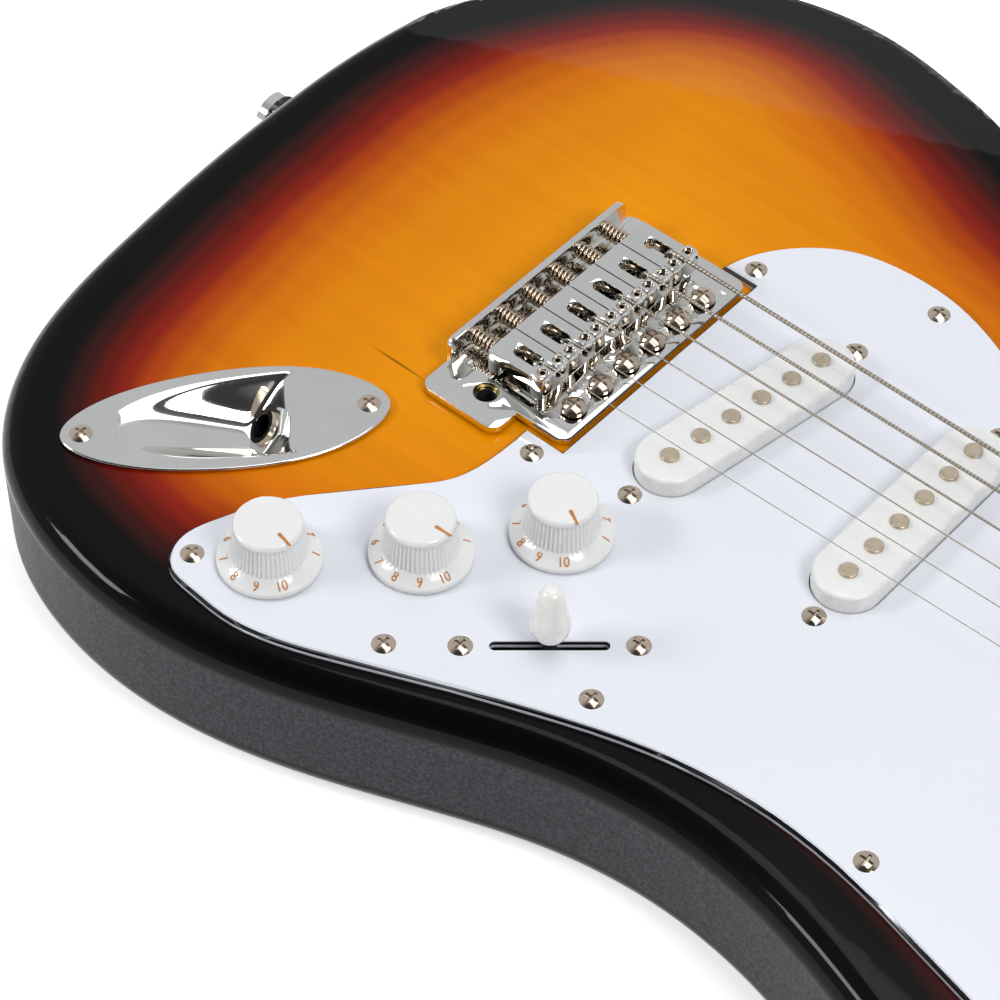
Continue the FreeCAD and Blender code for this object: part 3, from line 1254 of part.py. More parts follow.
def claw_screw_axes():
    axes = []
    for side in (-1, 1):
        seat = Vector(CLAW_X, side * CLAW_SCREW_OFFSET, SPRING_Z)
        axes.append((seat, seat + Vector(CLAW_SCREW_LENGTH, 0, 0)))
    return axes


def make_spring_claw():
    half = CLAW_WIDTH / 2
    claw = box(CLAW_X, CLAW_X + CLAW_THICKNESS, -half, half, SPRING_Z - CLAW_HEIGHT / 2,
               SPRING_Z + CLAW_HEIGHT / 2)
    tools = [rod(a - X_AXIS, b, CLAW_SCREW_RADIUS) for a, b in claw_screw_axes()]
    return cut(claw, tools)


def make_claw_screws():
    screw = pan_screw(CLAW_SCREW_HEAD_RADIUS, 2.2, CLAW_SCREW_RADIUS, CLAW_SCREW_LENGTH)
    return group([aimed(screw, a, Vector(-1, 0, 0)) for a, b in claw_screw_axes()])


def make_back_cover():
    x0, x1, half = back_cover_box()
    cover = rounded_plate(x0, x1, -half, half, BODY_BOTTOM - BACK_COVER_THICKNESS, BODY_BOTTOM,
                          BACK_COVER_CORNER_RADIUS)
    tools = [post(x, y, BODY_BOTTOM - 9, 0, TRIM_SHANK_RADIUS) for x, y in back_cover_screws()]
    for y in each_string(BRIDGE_STRING_PITCH):
        tools.append(post(STRING_HOLE_X, y, BODY_BOTTOM - 9, 0, BACK_COVER_HOLE_RADIUS))
    return cut(cover, tools)


# --- pickguard and pickups ---------------------------------------------------------------------------
def make_pickguard():
    notch_front = PLATE_FRONT + BRIDGE_NOTCH_FRONT_GAP
    treble = [(notch_front, PLATE_TREBLE_Y - BRIDGE_NOTCH_SIDE_GAP)] + PICKGUARD_TREBLE_EDGE[:1]
    bass = PICKGUARD_BASS_EDGE[-1:] + [(notch_front, PLATE_BASS_Y + BRIDGE_NOTCH_SIDE_GAP)]
    neck_gap = PICKGUARD_GAP + NECK_POCKET_GAP
    half = neck_half_width(NECK_HEEL_X) + neck_gap
    heel = NECK_HEEL_X - neck_gap
    treble_end, bass_end = PICKGUARD_TREBLE_EDGE[-1], PICKGUARD_BASS_EDGE[0]
    neck_treble = (treble_end[0], -neck_half_width(treble_end[0]) - neck_gap)
    neck_bass = (bass_end[0], neck_half_width(bass_end[0]) + neck_gap)
    edges = [line(treble[0], treble[1]), spline(PICKGUARD_TREBLE_EDGE), line(treble_end, neck_treble),
             line(neck_treble, (heel, -half)), line((heel, -half), (heel, half)),
             line((heel, half), neck_bass), line(neck_bass, bass_end), spline(PICKGUARD_BASS_EDGE),
             line(bass[0], bass[1]), line(bass[1], treble[0])]
    guard = slab(Part.Wire(edges), 0, PICKGUARD_THICKNESS)
    rim = [edge for edge in guard.Edges if edge.BoundBox.ZMin > PICKGUARD_THICKNESS / 2]
    guard = guard.makeChamfer(PICKGUARD_BEVEL, rim)
    tools = []
    for x, slant in pickup_places():
        tools.append(pickup_outline_cut(COVER_LENGTH + 2 * PICKGUARD_GAP, COVER_WIDTH + 2 * PICKGUARD_GAP,
                                        -1, 9, x, slant))
    for x, y in KNOB_PLACES.values():
        tools.append(post(x, y, -1, 9, POT_BUSHING_RADIUS))
    for x, y in PICKGUARD_SCREWS:
        tools.append(post(x, y, -1, 9, TRIM_SHANK_RADIUS))
    for x, y in pickup_screw_seats() + [SWITCH_SCREW_A, SWITCH_SCREW_B]:
        tools.append(post(x, y, -1, 9, MACHINE_SHANK_RADIUS))
    slot = slab(obround(SWITCH_SLOT_LENGTH, SWITCH_SLOT_WIDTH), -1, 9)
    tools.append(placed(slot, SWITCH_CENTRE[0], SWITCH_CENTRE[1], 0, switch_turn() - 90))
    return cut(guard, tools)


def make_plate_screws():
    screw = oval_screw(TRIM_HEAD_RADIUS, TRIM_HEAD_DOME, TRIM_SHANK_RADIUS, TRIM_SCREW_LENGTH)
    return group([aimed(screw, Vector(x, y, z), Vector(0, 0, way))
                  for x, y, z, way in trim_screw_places()])


def poles(shape):
    return [placed(shape, 0, y) for y in each_string(POLE_PITCH)]


def make_pickup_cover():
    shell = slab(obround(COVER_LENGTH, COVER_WIDTH), COVER_BOTTOM, COVER_TOP)
    rim = [edge for edge in shell.Edges if edge.BoundBox.ZMin > COVER_TOP - 0.01]
    shell = shell.makeFillet(COVER_EDGE_RADIUS, rim)
    inner = slab(obround(COVER_LENGTH - 2 * COVER_WALL, COVER_WIDTH - 2 * COVER_WALL), COVER_BOTTOM - 1,
                 COVER_TOP - COVER_WALL)
    return cut(shell.cut(inner), poles(post(0, 0, 0, 20, POLE_RADIUS)))


def make_pickup_coil():
    """The bobbin with its winding on a bottom plate that takes the height screws."""
    gap = 2 * (COVER_WALL + COIL_GAP)
    coil = slab(obround(COVER_LENGTH - gap, COVER_WIDTH - gap), COVER_BOTTOM,
                COVER_TOP - COVER_WALL - COIL_GAP)
    plate = slab(obround(FLATWORK_LENGTH, COVER_WIDTH + 1), COVER_BOTTOM - FLATWORK_THICKNESS,
                 COVER_BOTTOM)
    tools = poles(post(0, 0, -30, 20, POLE_RADIUS))
    half = PICKUP_SCREW_SPACING / 2
    tools += [post(0, side * half, -30, 20, MACHINE_SHANK_RADIUS) for side in (-1, 1)]
    return cut(fuse([coil, plate]), tools)


def make_pole_magnets():
    magnet = post(0, 0, COVER_BOTTOM - FLATWORK_THICKNESS, POLE_TOP, POLE_RADIUS)
    edge = [edge for edge in magnet.Edges if edge.BoundBox.ZMin > POLE_TOP - 0.01]
    return group(poles(magnet.makeFillet(0.25, edge)))


def on_each_pickup(shape):
    return group([placed(shape, x, 0, 0, -slant) for x, slant in pickup_places()])


def make_machine_screws():
    """Pickup height screws and switch screws."""
    screw = oval_screw(MACHINE_HEAD_RADIUS, TRIM_HEAD_DOME, MACHINE_SHANK_RADIUS, MACHINE_SCREW_LENGTH)
    seats = pickup_screw_seats() + [SWITCH_SCREW_A, SWITCH_SCREW_B]
    return group([placed(screw, x, y, PICKGUARD_THICKNESS) for x, y in seats])


def make_pickup_springs():
    spring = ring(PICKUP_SPRING_RADIUS, MACHINE_SHANK_RADIUS + 0.2, COVER_BOTTOM, 0)
    return group([placed(spring, x, y) for x, y in pickup_screw_seats()])


# --- controls -------------------------------------------------------------------------------------
def make_knob(x, y):
    base = PICKGUARD_THICKNESS + KNOB_GAP
    top = base + KNOB_HEIGHT
    rim = base + KNOB_RIM_HEIGHT
    cone = base + KNOB_CONE_BASE
    profile = [(0, base), (KNOB_BASE_RADIUS, base), (KNOB_BASE_RADIUS, rim), (KNOB_CONE_RADIUS, cone),
               (KNOB_TOP_RADIUS, top), (0, top)]
    outline = Part.makePolygon([Vector(r, 0, z) for r, z in profile + profile[:1]])
    knob = Part.Face(outline).revolve(Vector(0, 0, 0), Z_AXIS, 360)
    knob = knob.cut(post(0, 0, base - 1, base + KNOB_CAVITY_HEIGHT, KNOB_CAVITY_RADIUS))
    knob = knob.cut(post(0, 0, base, shaft_top(), SHAFT_RADIUS))
    return placed(knob, x, y)


def shaft_top():
    return PICKGUARD_THICKNESS + KNOB_GAP + KNOB_HEIGHT - 2.0


def pot_bottom():
    return -POT_HEIGHT - 1


def shaft_bottom():
    return -POT_HEIGHT / 2


def make_shaft(x, y):
    return post(x, y, shaft_bottom(), shaft_top(), SHAFT_RADIUS)


def make_potentiometers():
    half = POT_LUG_WIDTH / 2
    reach = POT_RADIUS + CONTROL_CAVITY_GAP - POT_LUG_GAP
    tip = math.sqrt(reach * reach - half * half)
    lugs = box(-half, half, -tip, 0, -POT_LUG_DROP - POT_LUG_THICKNESS, -POT_LUG_DROP)
    case = fuse([post(0, 0, pot_bottom(), 0, POT_RADIUS),
                 post(0, 0, 0, PICKGUARD_THICKNESS + POT_BUSHING_RISE, POT_BUSHING_RADIUS),
                 lugs])
    case = case.cut(post(0, 0, shaft_bottom() - 0.1, 20, SHAFT_RADIUS + SHAFT_CLEARANCE))
    return group([placed(case, x, y) for x, y in KNOB_PLACES.values()])


def make_control_nuts():
    nuts = []
    nut = hexagon_nut(POT_BUSHING_RADIUS, CONTROL_NUT_THICKNESS)
    for x, y in KNOB_PLACES.values():
        nuts.append(placed(nut, x, y, PICKGUARD_THICKNESS))
    thickness = JACK_WASHER_THICKNESS
    washer = ring(NUT_ACROSS_FLATS / 2 + JACK_WASHER_MARGIN, JACK_BUSHING_RADIUS, 0, thickness)
    seat, way = jack_seat(), jack_direction()
    nuts.append(aimed(washer, seat, way))
    jack_nut = hexagon_nut(JACK_BUSHING_RADIUS, CONTROL_NUT_THICKNESS)
    nuts.append(aimed(jack_nut, seat + way * thickness, way))
    return group(nuts)


def on_switch(shape):
    return placed(shape, SWITCH_CENTRE[0], SWITCH_CENTRE[1], 0, switch_turn())


def make_switch_frame():
    """A flange under the pickguard with two cheeks that carry the lever's pin."""
    half = switch_screw_distance() / 2
    flange = slab(obround(2 * (half + SWITCH_FLANGE_MARGIN), SWITCH_FLANGE_WIDTH),
                  -SWITCH_FLANGE_THICKNESS, 0)
    flange.rotate(Vector(0, 0, 0), Z_AXIS, 90)
    window = box(-SWITCH_SLOT_LENGTH / 2, SWITCH_SLOT_LENGTH / 2, -SWITCH_SLOT_WIDTH / 2,
                 SWITCH_SLOT_WIDTH / 2, -9, 9)
    pieces = [flange.cut(window)]
    for side in (-1, 1):
        inner = side * SWITCH_CHEEK_GAP
        outer = side * (SWITCH_CHEEK_GAP + SWITCH_CHEEK_THICKNESS)
        cheek = box(-SWITCH_LENGTH / 2, SWITCH_LENGTH / 2, min(inner, outer), max(inner, outer),
                    -SWITCH_DEPTH, -SWITCH_FLANGE_THICKNESS)
        pieces.append(cheek)
    frame = fuse(pieces)
    tools = [post(side * half, 0, -9, 9, MACHINE_SHANK_RADIUS) for side in (-1, 1)]
    tools.append(rod(Vector(0, -9, SWITCH_PIVOT_Z), Vector(0, 9, SWITCH_PIVOT_Z),
                     SWITCH_PIN_RADIUS + SWITCH_PIN_CLEARANCE))
    return on_switch(cut(frame, tools))


def make_switch_lever():
    half = LEVER_THICKNESS / 2
    blade = box(-LEVER_WIDTH / 2, LEVER_WIDTH / 2, -half, half, SWITCH_PIVOT_Z, TIP_FLARE_Z + 6)
    disc = rod(Vector(0, -half, SWITCH_PIVOT_Z), Vector(0, half, SWITCH_PIVOT_Z), LEVER_DISC_RADIUS)
    reach = SWITCH_CHEEK_GAP + SWITCH_CHEEK_THICKNESS + 0.6
    pin = rod(Vector(0, -reach, SWITCH_PIVOT_Z), Vector(0, reach, SWITCH_PIVOT_Z), SWITCH_PIN_RADIUS)
    return on_switch(fuse([blade, disc, pin]))


def make_switch_tip():
    start = Vector(0, 0, TIP_FLARE_Z)
    foot = Vector(TIP_SHANK_LENGTH / 2, 0, TIP_FLARE_Z)
    side = Part.BSplineCurve()
    side.interpolate([foot, Vector(TIP_WIDEST_RADIUS * 0.93, 0, (TIP_FLARE_Z + TIP_WIDEST_Z) / 2),
                      Vector(TIP_WIDEST_RADIUS, 0, TIP_WIDEST_Z),
                      Vector(TIP_SHOULDER_RADIUS, 0, TIP_SHOULDER_Z),
                      Vector(0, 0, TIP_TOP_Z)])
    edges = [Part.LineSegment(start, foot).toShape(), side.toShape(),
             Part.LineSegment(Vector(0, 0, TIP_TOP_Z), start).toShape()]
    bulb = Part.Face(Part.Wire(edges)).revolve(Vector(0, 0, 0), Z_AXIS, 360)
    shank = box(-TIP_SHANK_LENGTH / 2, TIP_SHANK_LENGTH / 2, -TIP_SHANK_WIDTH / 2, TIP_SHANK_WIDTH / 2,
                TIP_BASE_Z, TIP_FLARE_Z + 2)
    socket = box(-LEVER_WIDTH / 2, LEVER_WIDTH / 2, -LEVER_THICKNESS / 2, LEVER_THICKNESS / 2, 0,
                 TIP_FLARE_Z + 6)
    return on_switch(fuse([bulb, shank]).cut(socket))


def make_tone_capacitor():
    x1, y1 = KNOB_PLACES["tone_1"]
    x2, y2 = KNOB_PLACES["tone_2"]
    middle = Vector((x1 + x2) / 2, (y1 + y2) / 2, pot_bottom() - 2 * CAPACITOR_THICKNESS)
    disc = Part.makeCylinder(CAPACITOR_RADIUS, CAPACITOR_THICKNESS, middle, Z_AXIS)
    core = middle + Vector(0, 0, CAPACITOR_THICKNESS / 2)
    leads = []
    for x, y in ((x1, y1), (x2, y2)):
        tag = Vector(x, y, pot_bottom())
        corner = Vector(x, y, core.z)
        leads.append(bent_rod([core, corner, tag], CAPACITOR_LEAD_RADIUS, 2 * CAPACITOR_LEAD_RADIUS))
    return fuse([disc] + leads)


def make_wiring():
    """Leads from the pickups to the switch, on to the pots and the jack, each soldered square on."""
    volume, tone_1 = [Vector(*KNOB_PLACES[name], pot_bottom()) for name in ("volume", "tone_1")]
    way = switch_direction()
    side = Vector(-way.y, way.x, 0) * (SWITCH_CHEEK_GAP + SWITCH_CHEEK_THICKNESS / 2)
    switch = Vector(SWITCH_CENTRE[0], SWITCH_CENTRE[1], -SWITCH_DEPTH) + side
    drop = Vector(0, 0, -LEAD_DROP)
    leads = []
    for index, x in enumerate(PICKUP_X):
        step = index * LEAD_SPACING
        floor = -PICKUP_CAVITY_DEPTH + LEAD_SPACING + step
        y = LEAD_CHANNEL_Y - LEAD_SPACING + step
        turn_x = PICKUP_X[0] + 5 - step
        tag = switch + way * ((1 - index) * LEAD_TAG_PITCH)
        top = COVER_BOTTOM - FLATWORK_THICKNESS
        leads.append([Vector(x - LEAD_SPACING, y, top), Vector(x - LEAD_SPACING, y, floor),
                      Vector(turn_x, y, floor), Vector(turn_x, volume.y - LEAD_SPACING, floor),
                      tag + drop, tag])
    case = volume + Vector(-2, -POT_RADIUS / 2, 0)
    tag = switch - way * (2 * LEAD_TAG_PITCH)
    leads.append([case, case + drop, tag + drop, tag])
    jack_end = jack_seat() - jack_direction() * JACK_BODY_LENGTH + Vector(0, 0, JACK_BODY_RADIUS - 2)
    case = tone_1 + Vector(-4, 4, 0)
    leads.append([jack_end, jack_point(CUP_END + 8, 0, -17), case + drop * 3, case])
    return group([bent_rod(points, LEAD_RADIUS, LEAD_BEND_RADIUS) for points in leads])


# --- output jack ------------------------------------------------------------------------------------
def cup_cone(offset):
    """The flared cup as a cone lying in the plate, closed by the tilted end wall."""
    slope = math.radians(CUP_HALF_ANGLE)
    tip = CUP_TIP - offset / math.sin(slope)
    length = CUP_END + 22 - tip
    start = jack_point(tip, 0, 0)
    way = jack_point(1, 0, 0) - jack_point(0, 0, 0)
    cone = Part.makeCone(0, length * math.tan(slope), length, start, way)
    wall = jack_seat() - jack_direction() * offset
    beyond = aimed(post(0, 0, -90, 0, 90), wall, jack_direction())
    under = box(-200, 200, -250, 50, -60, JACK_PLATE_THICKNESS)
    return cone.cut(beyond).common(under)


def make_jack_plate():
    half = JACK_PLATE_PROFILE
    upper = [jack_point(a, b, 0) for a, b in half]
    lower = [jack_point(a, -b, 0) for a, b in reversed(half[:-1])]
    curve = Part.BSplineCurve()
    curve.interpolate((upper + lower)[:-1], PeriodicFlag=True)
    sheet = slab(Part.Wire([curve.toShape()]), 0, JACK_PLATE_THICKNESS)
    shell = cup_cone(CUP_WALL)
    plate = fuse([sheet, shell])
    seat, way = jack_seat(), jack_direction()
    tools = [cup_cone(0), rod(seat + way, seat - way * 9, JACK_BUSHING_RADIUS)]
    tools += [post(x, y, -9, 9, TRIM_SHANK_RADIUS) for x, y in (JACK_SCREW_A, JACK_SCREW_B)]
    return cut(plate, tools)


def make_output_jack():
    seat, way = jack_seat(), jack_direction()
    back = CUP_WALL
    barrel = post(0, 0, -back - JACK_SHOULDER, JACK_BUSHING_RISE, JACK_BUSHING_RADIUS)
    shoulder = post(0, 0, -back - JACK_SHOULDER, -back, JACK_BODY_RADIUS)
    bore = post(0, 0, -back - 9, 20, JACK_BORE_RADIUS)
    sleeve = fuse([barrel, shoulder]).cut(bore)
    spring = fuse([box(-2, 2, JACK_BODY_RADIUS - 1.8, JACK_BODY_RADIUS - 0.6, -JACK_BODY_LENGTH, -back - 1),
                   box(-2, 2, JACK_BORE_RADIUS + 0.1, JACK_BODY_RADIUS - 0.6, -JACK_BODY_LENGTH,
                   -JACK_BODY_LENGTH + 1.2)])
    return aimed(fuse([sleeve, spring]), seat, way)


# --- export ---------------------------------------------------------------------------------------
def all_pieces():
    pieces = {
        "body": make_body(), "neck": make_neck(), "fretboard": make_fretboard(), "frets": make_frets(),
        "position_dots": make_dots(), "nut": make_nut(), "truss_rod": make_truss_rod(),
        "neck_plate": make_neck_plate(), "neck_plate_screws": make_neck_plate_screws(),
        "strap_buttons": make_strap_buttons(), "pickguard": make_pickguard(),
        "plate_screws": make_plate_screws(), "pickup_covers": on_each_pickup(make_pickup_cover()),
        "pickup_coils": on_each_pickup(make_pickup_coil()),
        "pole_magnets": on_each_pickup(make_pole_magnets()),
        "machine_screws": make_machine_screws(), "pickup_springs": make_pickup_springs(),
        "potentiometers": make_potentiometers(), "control_nuts": make_control_nuts(),
        "switch_frame": make_switch_frame(), "switch_lever": make_switch_lever(),
        "switch_tip": make_switch_tip(), "tone_capacitor": make_tone_capacitor(),
        "wiring": make_wiring(), "jack_plate": make_jack_plate(), "output_jack": make_output_jack(),
        "spring_claw": make_spring_claw(), "claw_screws": make_claw_screws(),
        "tremolo_springs": make_tremolo_springs(), "back_cover": make_back_cover(),
        "pivot_screws": make_pivot_screws(), "bridge_plate": make_bridge_plate(),
        "tremolo_block": make_tremolo_block(), "saddles": make_saddles(),
        "bridge_screws": make_bridge_screws(), "intonation_springs": make_intonation_springs(),
        "ball_ends": make_ball_ends(), "strings": make_strings(), "string_trees": make_string_trees(),
        "headstock_screws": make_headstock_screws(), "tuner_housings": make_tuner_housings(),
        "tuner_bushings": make_tuner_bushings(),
    }
    for name, (x, y) in KNOB_PLACES.items():
        pieces[name + "_knob"] = make_knob(x, y)
        pieces[name + "_shaft"] = make_shaft(x, y)
    for index in range(STRING_COUNT):
        pieces["tuner_button_%d" % (index + 1)] = make_tuner_button(index)
        pieces["tuner_post_%d" % (index + 1)] = make_tuner_post(index)
    return pieces


def main():
    os.makedirs("parts", exist_ok=True)
    pieces = all_pieces()
    bounds = group(list(pieces.values())).optimalBoundingBox(False, False)
    shift = Vector(-bounds.Center.x, -bounds.Center.y, -bounds.ZMin)
    print("origin moved by", round(shift.x, 4), round(shift.y, 4), round(shift.z, 4))
    for name, shape in pieces.items():
        shape.translate(shift)
        print(name, len(shape.Solids), shape.isValid())
        shape.exportStep("parts/" + name + ".step")


main()
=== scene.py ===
"""Looks of the electric guitar: a sunburst body, white plastics and plated hardware round the fixed frame."""

import math
from contextlib import contextmanager

import bpy
import numpy as np
from mathutils import Matrix, Vector


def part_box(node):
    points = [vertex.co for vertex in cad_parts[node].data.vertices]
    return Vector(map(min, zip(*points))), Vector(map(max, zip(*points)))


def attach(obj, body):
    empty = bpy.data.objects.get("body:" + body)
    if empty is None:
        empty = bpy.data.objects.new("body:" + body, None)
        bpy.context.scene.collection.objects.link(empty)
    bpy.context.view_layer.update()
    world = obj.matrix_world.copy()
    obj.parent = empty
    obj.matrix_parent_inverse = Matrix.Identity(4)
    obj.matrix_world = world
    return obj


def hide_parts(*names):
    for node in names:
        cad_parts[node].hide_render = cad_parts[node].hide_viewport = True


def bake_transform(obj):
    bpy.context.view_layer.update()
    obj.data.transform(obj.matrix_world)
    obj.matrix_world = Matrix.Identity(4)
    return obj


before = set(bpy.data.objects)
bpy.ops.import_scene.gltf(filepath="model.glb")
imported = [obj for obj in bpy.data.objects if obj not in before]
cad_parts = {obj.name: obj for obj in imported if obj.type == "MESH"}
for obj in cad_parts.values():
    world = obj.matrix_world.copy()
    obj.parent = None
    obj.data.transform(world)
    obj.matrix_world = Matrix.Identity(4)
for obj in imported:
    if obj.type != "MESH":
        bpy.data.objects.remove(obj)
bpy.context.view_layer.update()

bl_info = {
    "name": "Electric guitar looks",
    "version": (1, 0, 0),
    "blender": (4, 5, 0),
    "location": "3D View > Sidebar > Guitar",
    "description": "Lacquer, plastics, plated hardware and strings for a solid-body electric guitar",
    "category": "Object",
}

MM = 0.001
# The bridge is built round the middle string gap and the face of the body.
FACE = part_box("body")[1].z
STRINGS = 6
KNOBS = ("volume", "tone_1", "tone_2")
RIM_RADIUS = 8 * MM


def centre_of(node):
    low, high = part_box(node)
    return (low + high) / 2


# Places are written in millimetres from the bridge's scale line, the middle of the string row and the
# face of the body, as in the part's source; the volume knob stands 35.8 mm ahead and 59.7 mm to the treble.
VOLUME = centre_of("volume_knob")
ORIGIN = Vector((VOLUME.x - 35.8 * MM, VOLUME.y + 59.7 * MM, FACE))


def at(x, y, z=0.0):
    return ORIGIN + Vector((x, y, z)) * MM


def linear(code):
    """An sRGB hex value as linear RGBA."""
    parts = [int(code[i:i + 2], 16) / 255 for i in (0, 2, 4)]
    return [c / 12.92 if c <= 0.04045 else ((c + 0.055) / 1.055) ** 2.4 for c in parts] + [1.0]


# --- properties -----------------------------------------------------------------------------------
def colour(name, description, code):
    return bpy.props.FloatVectorProperty(name=name, description=description, subtype="COLOR", size=4,
                                         min=0, max=1, default=linear(code))


def length(name, description, millimetres):
    return bpy.props.FloatProperty(name=name, description=description, unit="LENGTH", subtype="DISTANCE",
                                   min=0, default=millimetres * MM)


class GuitarBodyLook(bpy.types.PropertyGroup):
    edge: colour("Edge", "Nearly black lacquer sprayed round the rim", "0a0909")
    ember: colour("Ember", "Red band between the rim and the middle", "861f0d")
    amber: colour("Amber", "Honey colour of the middle", "df8400")
    side: colour("Side", "Dark satin lacquer of the side wall", "383a3d")
    grain: length("Grain", "Spacing of the wood's growth rings across the face", 5.0)


class GuitarPlasticLook(bpy.types.PropertyGroup):
    guard: colour("Pickguard", "Top ply of the pickguard", "e9ebf2")
    middle_ply: colour("Middle ply", "Black ply between the two white ones", "15171b")
    cover: colour("Covers", "Pickup covers and knobs", "ececea")
    numbers: colour("Numbers", "Printed numbers on the knobs", "c47f34")
    ribs: bpy.props.IntProperty(name="Ribs", description="Ribs round each knob", default=52, min=12)
    rib_depth: length("Rib depth", "How deep the grooves between the ribs are", 0.42)


class GuitarMetalLook(bpy.types.PropertyGroup):
    chrome: colour("Chrome", "Plated steel of the bridge and the jack plate", "e6e5e0")
    nickel: colour("Nickel", "Warm plating of screws and springs", "dac9b6")
    pole: colour("Pole", "Bare magnets", "cdbda6")
    edge_radius: length("Edge", "Rounding on the edges of plated parts", 0.35)


class GuitarStage(bpy.types.PropertyGroup):
    lens: bpy.props.FloatProperty(name="Lens", description="Focal length", unit="CAMERA", default=113.83)
    floor: colour("Floor", "Paper under the guitar", "f4f4f4")


# --- shared tools ---------------------------------------------------------------------------------
def deselect():
    if bpy.context.mode != "OBJECT":
        bpy.ops.object.mode_set(mode="OBJECT")
    bpy.ops.object.select_all(action="DESELECT")


def only(obj):
    """Makes this piece the one that is selected and active."""
    deselect()
    obj.select_set(True)
    bpy.context.view_layer.objects.active = obj
    return obj


@contextmanager
def editing(obj, select=None):
    """Edit mode on one piece, first with everything or nothing selected if asked."""
    only(obj)
    bpy.ops.object.mode_set(mode="EDIT")
    if select:
        bpy.ops.mesh.select_all(action=select)
    yield
    bpy.ops.object.mode_set(mode="OBJECT")


def pick(obj, mode, test):
    """Selects the vertices or the faces that pass a test, and nothing else."""
    with editing(obj):
        bpy.ops.mesh.select_mode(type=mode)
        bpy.ops.mesh.select_all(action="DESELECT")
    for element in obj.data.vertices if mode == "VERT" else obj.data.polygons:
        element.select = test(element)


def settle(obj):
    """Puts the piece's place into its mesh."""
    only(obj)
    bpy.ops.object.transform_apply(location=True, rotation=True, scale=True)
    return obj


def modify(obj, kind, **settings):
    only(obj)
    modifier = obj.modifiers.new(kind.title(), kind)
    for key, value in settings.items():
        setattr(modifier, key, value)
    bpy.ops.object.modifier_apply(modifier=modifier.name)
    return obj


def smooth(obj, degrees=35):
    only(obj)
    bpy.ops.object.shade_smooth_by_angle(angle=math.radians(degrees))
    return obj


def face_out(obj):
    """Welds doubled corners and turns every face outward."""
    with editing(obj, "SELECT"):
        bpy.ops.mesh.remove_doubles(threshold=1e-6)
        bpy.ops.mesh.normals_make_consistent(inside=False)
    return obj


def copy_of(source, name, offset=(0, 0, 0)):
    """A copy with its own mesh, moved by an offset."""
    only(source)
    bpy.ops.object.duplicate(linked=False)
    obj = bpy.context.object
    obj.name = obj.data.name = name
    obj.parent = None
    obj.location = offset
    return settle(obj)


def join(pieces, name):
    deselect()
    for piece in pieces:
        piece.select_set(True)
    bpy.context.view_layer.objects.active = pieces[0]
    if len(pieces) > 1:
        bpy.ops.object.join()
    obj = bpy.context.object
    obj.name = obj.data.name = name
    return settle(obj)


def dress(obj, material, body, replaced=()):
    """Gives a piece its finish and the body that it rides on."""
    if material:
        obj.data.materials.clear()
        obj.data.materials.append(material)
    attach(obj, body)
    if replaced:
        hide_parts(*replaced)
    return obj


def paint(nodes, material):
    """Gives CAD nodes their finish."""
    for name in nodes:
        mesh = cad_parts[name].data
        mesh.materials.clear()
        mesh.materials.append(material)


def turned(name, profile, sides, centre=(0, 0, 0), degrees=35):
    """A piece turned on a lathe: a disc drawn up through (radius, height) points in millimetres."""
    deselect()
    base = Vector(centre)
    radius, height = profile[0]
    start = base + Vector((0, 0, height * MM))
    bpy.ops.mesh.primitive_circle_add(vertices=sides, radius=radius * MM, fill_type="NGON", location=start)
    obj = bpy.context.object
    obj.name = obj.data.name = name
    with editing(obj, "SELECT"):
        for next_radius, next_height in profile[1:]:
            rise = (0, 0, (next_height - height) * MM)
            bpy.ops.mesh.extrude_region_move(TRANSFORM_OT_translate={"value": rise})
            share = next_radius / radius
            bpy.ops.transform.resize(value=(share, share, 1), center_override=base)
            radius, height = next_radius, next_height
    settle(obj)
    return smooth(face_out(obj), degrees)


def coil(name, radius, wire, turns, start, end, steps=18):
    """A spring: a wire ring carried round the axis from start to end."""
    deselect()
    axis = Vector(end) - Vector(start)
    bpy.ops.mesh.primitive_circle_add(vertices=8, radius=wire, location=(radius, 0, 0),
                                      rotation=(math.pi / 2, 0, 0))
    obj = bpy.context.object
    obj.name = obj.data.name = name
    settle(obj)
    modify(obj, "SCREW", angle=2 * math.pi, screw_offset=axis.length / turns, iterations=turns,
           steps=steps, render_steps=steps, use_merge_vertices=True)
    obj.matrix_world = Matrix.Translation(start) @ axis.to_track_quat("Z", "Y").to_matrix().to_4x4()
    settle(obj)
    with editing(obj, "DESELECT"):
        bpy.ops.mesh.select_non_manifold()
        bpy.ops.mesh.edge_face_add()
    return smooth(face_out(obj), 50)


def polished(node, name, width=None, degrees=30):
    """A copy of a CAD node with its sharp edges rounded, as tumbling and plating leave them."""
    obj = copy_of(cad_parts[node], name)
    with editing(obj, "SELECT"):
        bpy.ops.mesh.remove_doubles(threshold=2e-6)
        bpy.ops.mesh.dissolve_limited(angle_limit=math.radians(1.5))
    if width:
        modify(obj, "BEVEL", width=width, segments=2, limit_method="ANGLE",
               angle_limit=math.radians(degrees), use_clamp_overlap=True)
    return smooth(obj, 40)


# --- materials ------------------------------------------------------------------------------------
def add(tree, kind, settings=None, links=None):
    """Adds a shader node with its settings, by property or socket name, and its incoming links."""
    node = tree.nodes.new("ShaderNode" + kind)
    for key, value in (settings or {}).items():
        if isinstance(key, int) or key in node.inputs:
            node.inputs[key].default_value = value
        else:
            setattr(node, key, value)
    for key, socket in (links or {}).items():
        tree.links.new(socket, node.inputs[key])
    return node


def per(millimetres):
    """A texture's scale for features of this size."""
    return 1000.0 / millimetres


def blank(name, **sockets):
    material = bpy.data.materials.new(name)
    material.use_nodes = True
    tree = material.node_tree
    shader = tree.nodes["Principled BSDF"]
    for key, value in sockets.items():
        shader.inputs[key.replace("_", " ")].default_value = value
    return material, tree, shader


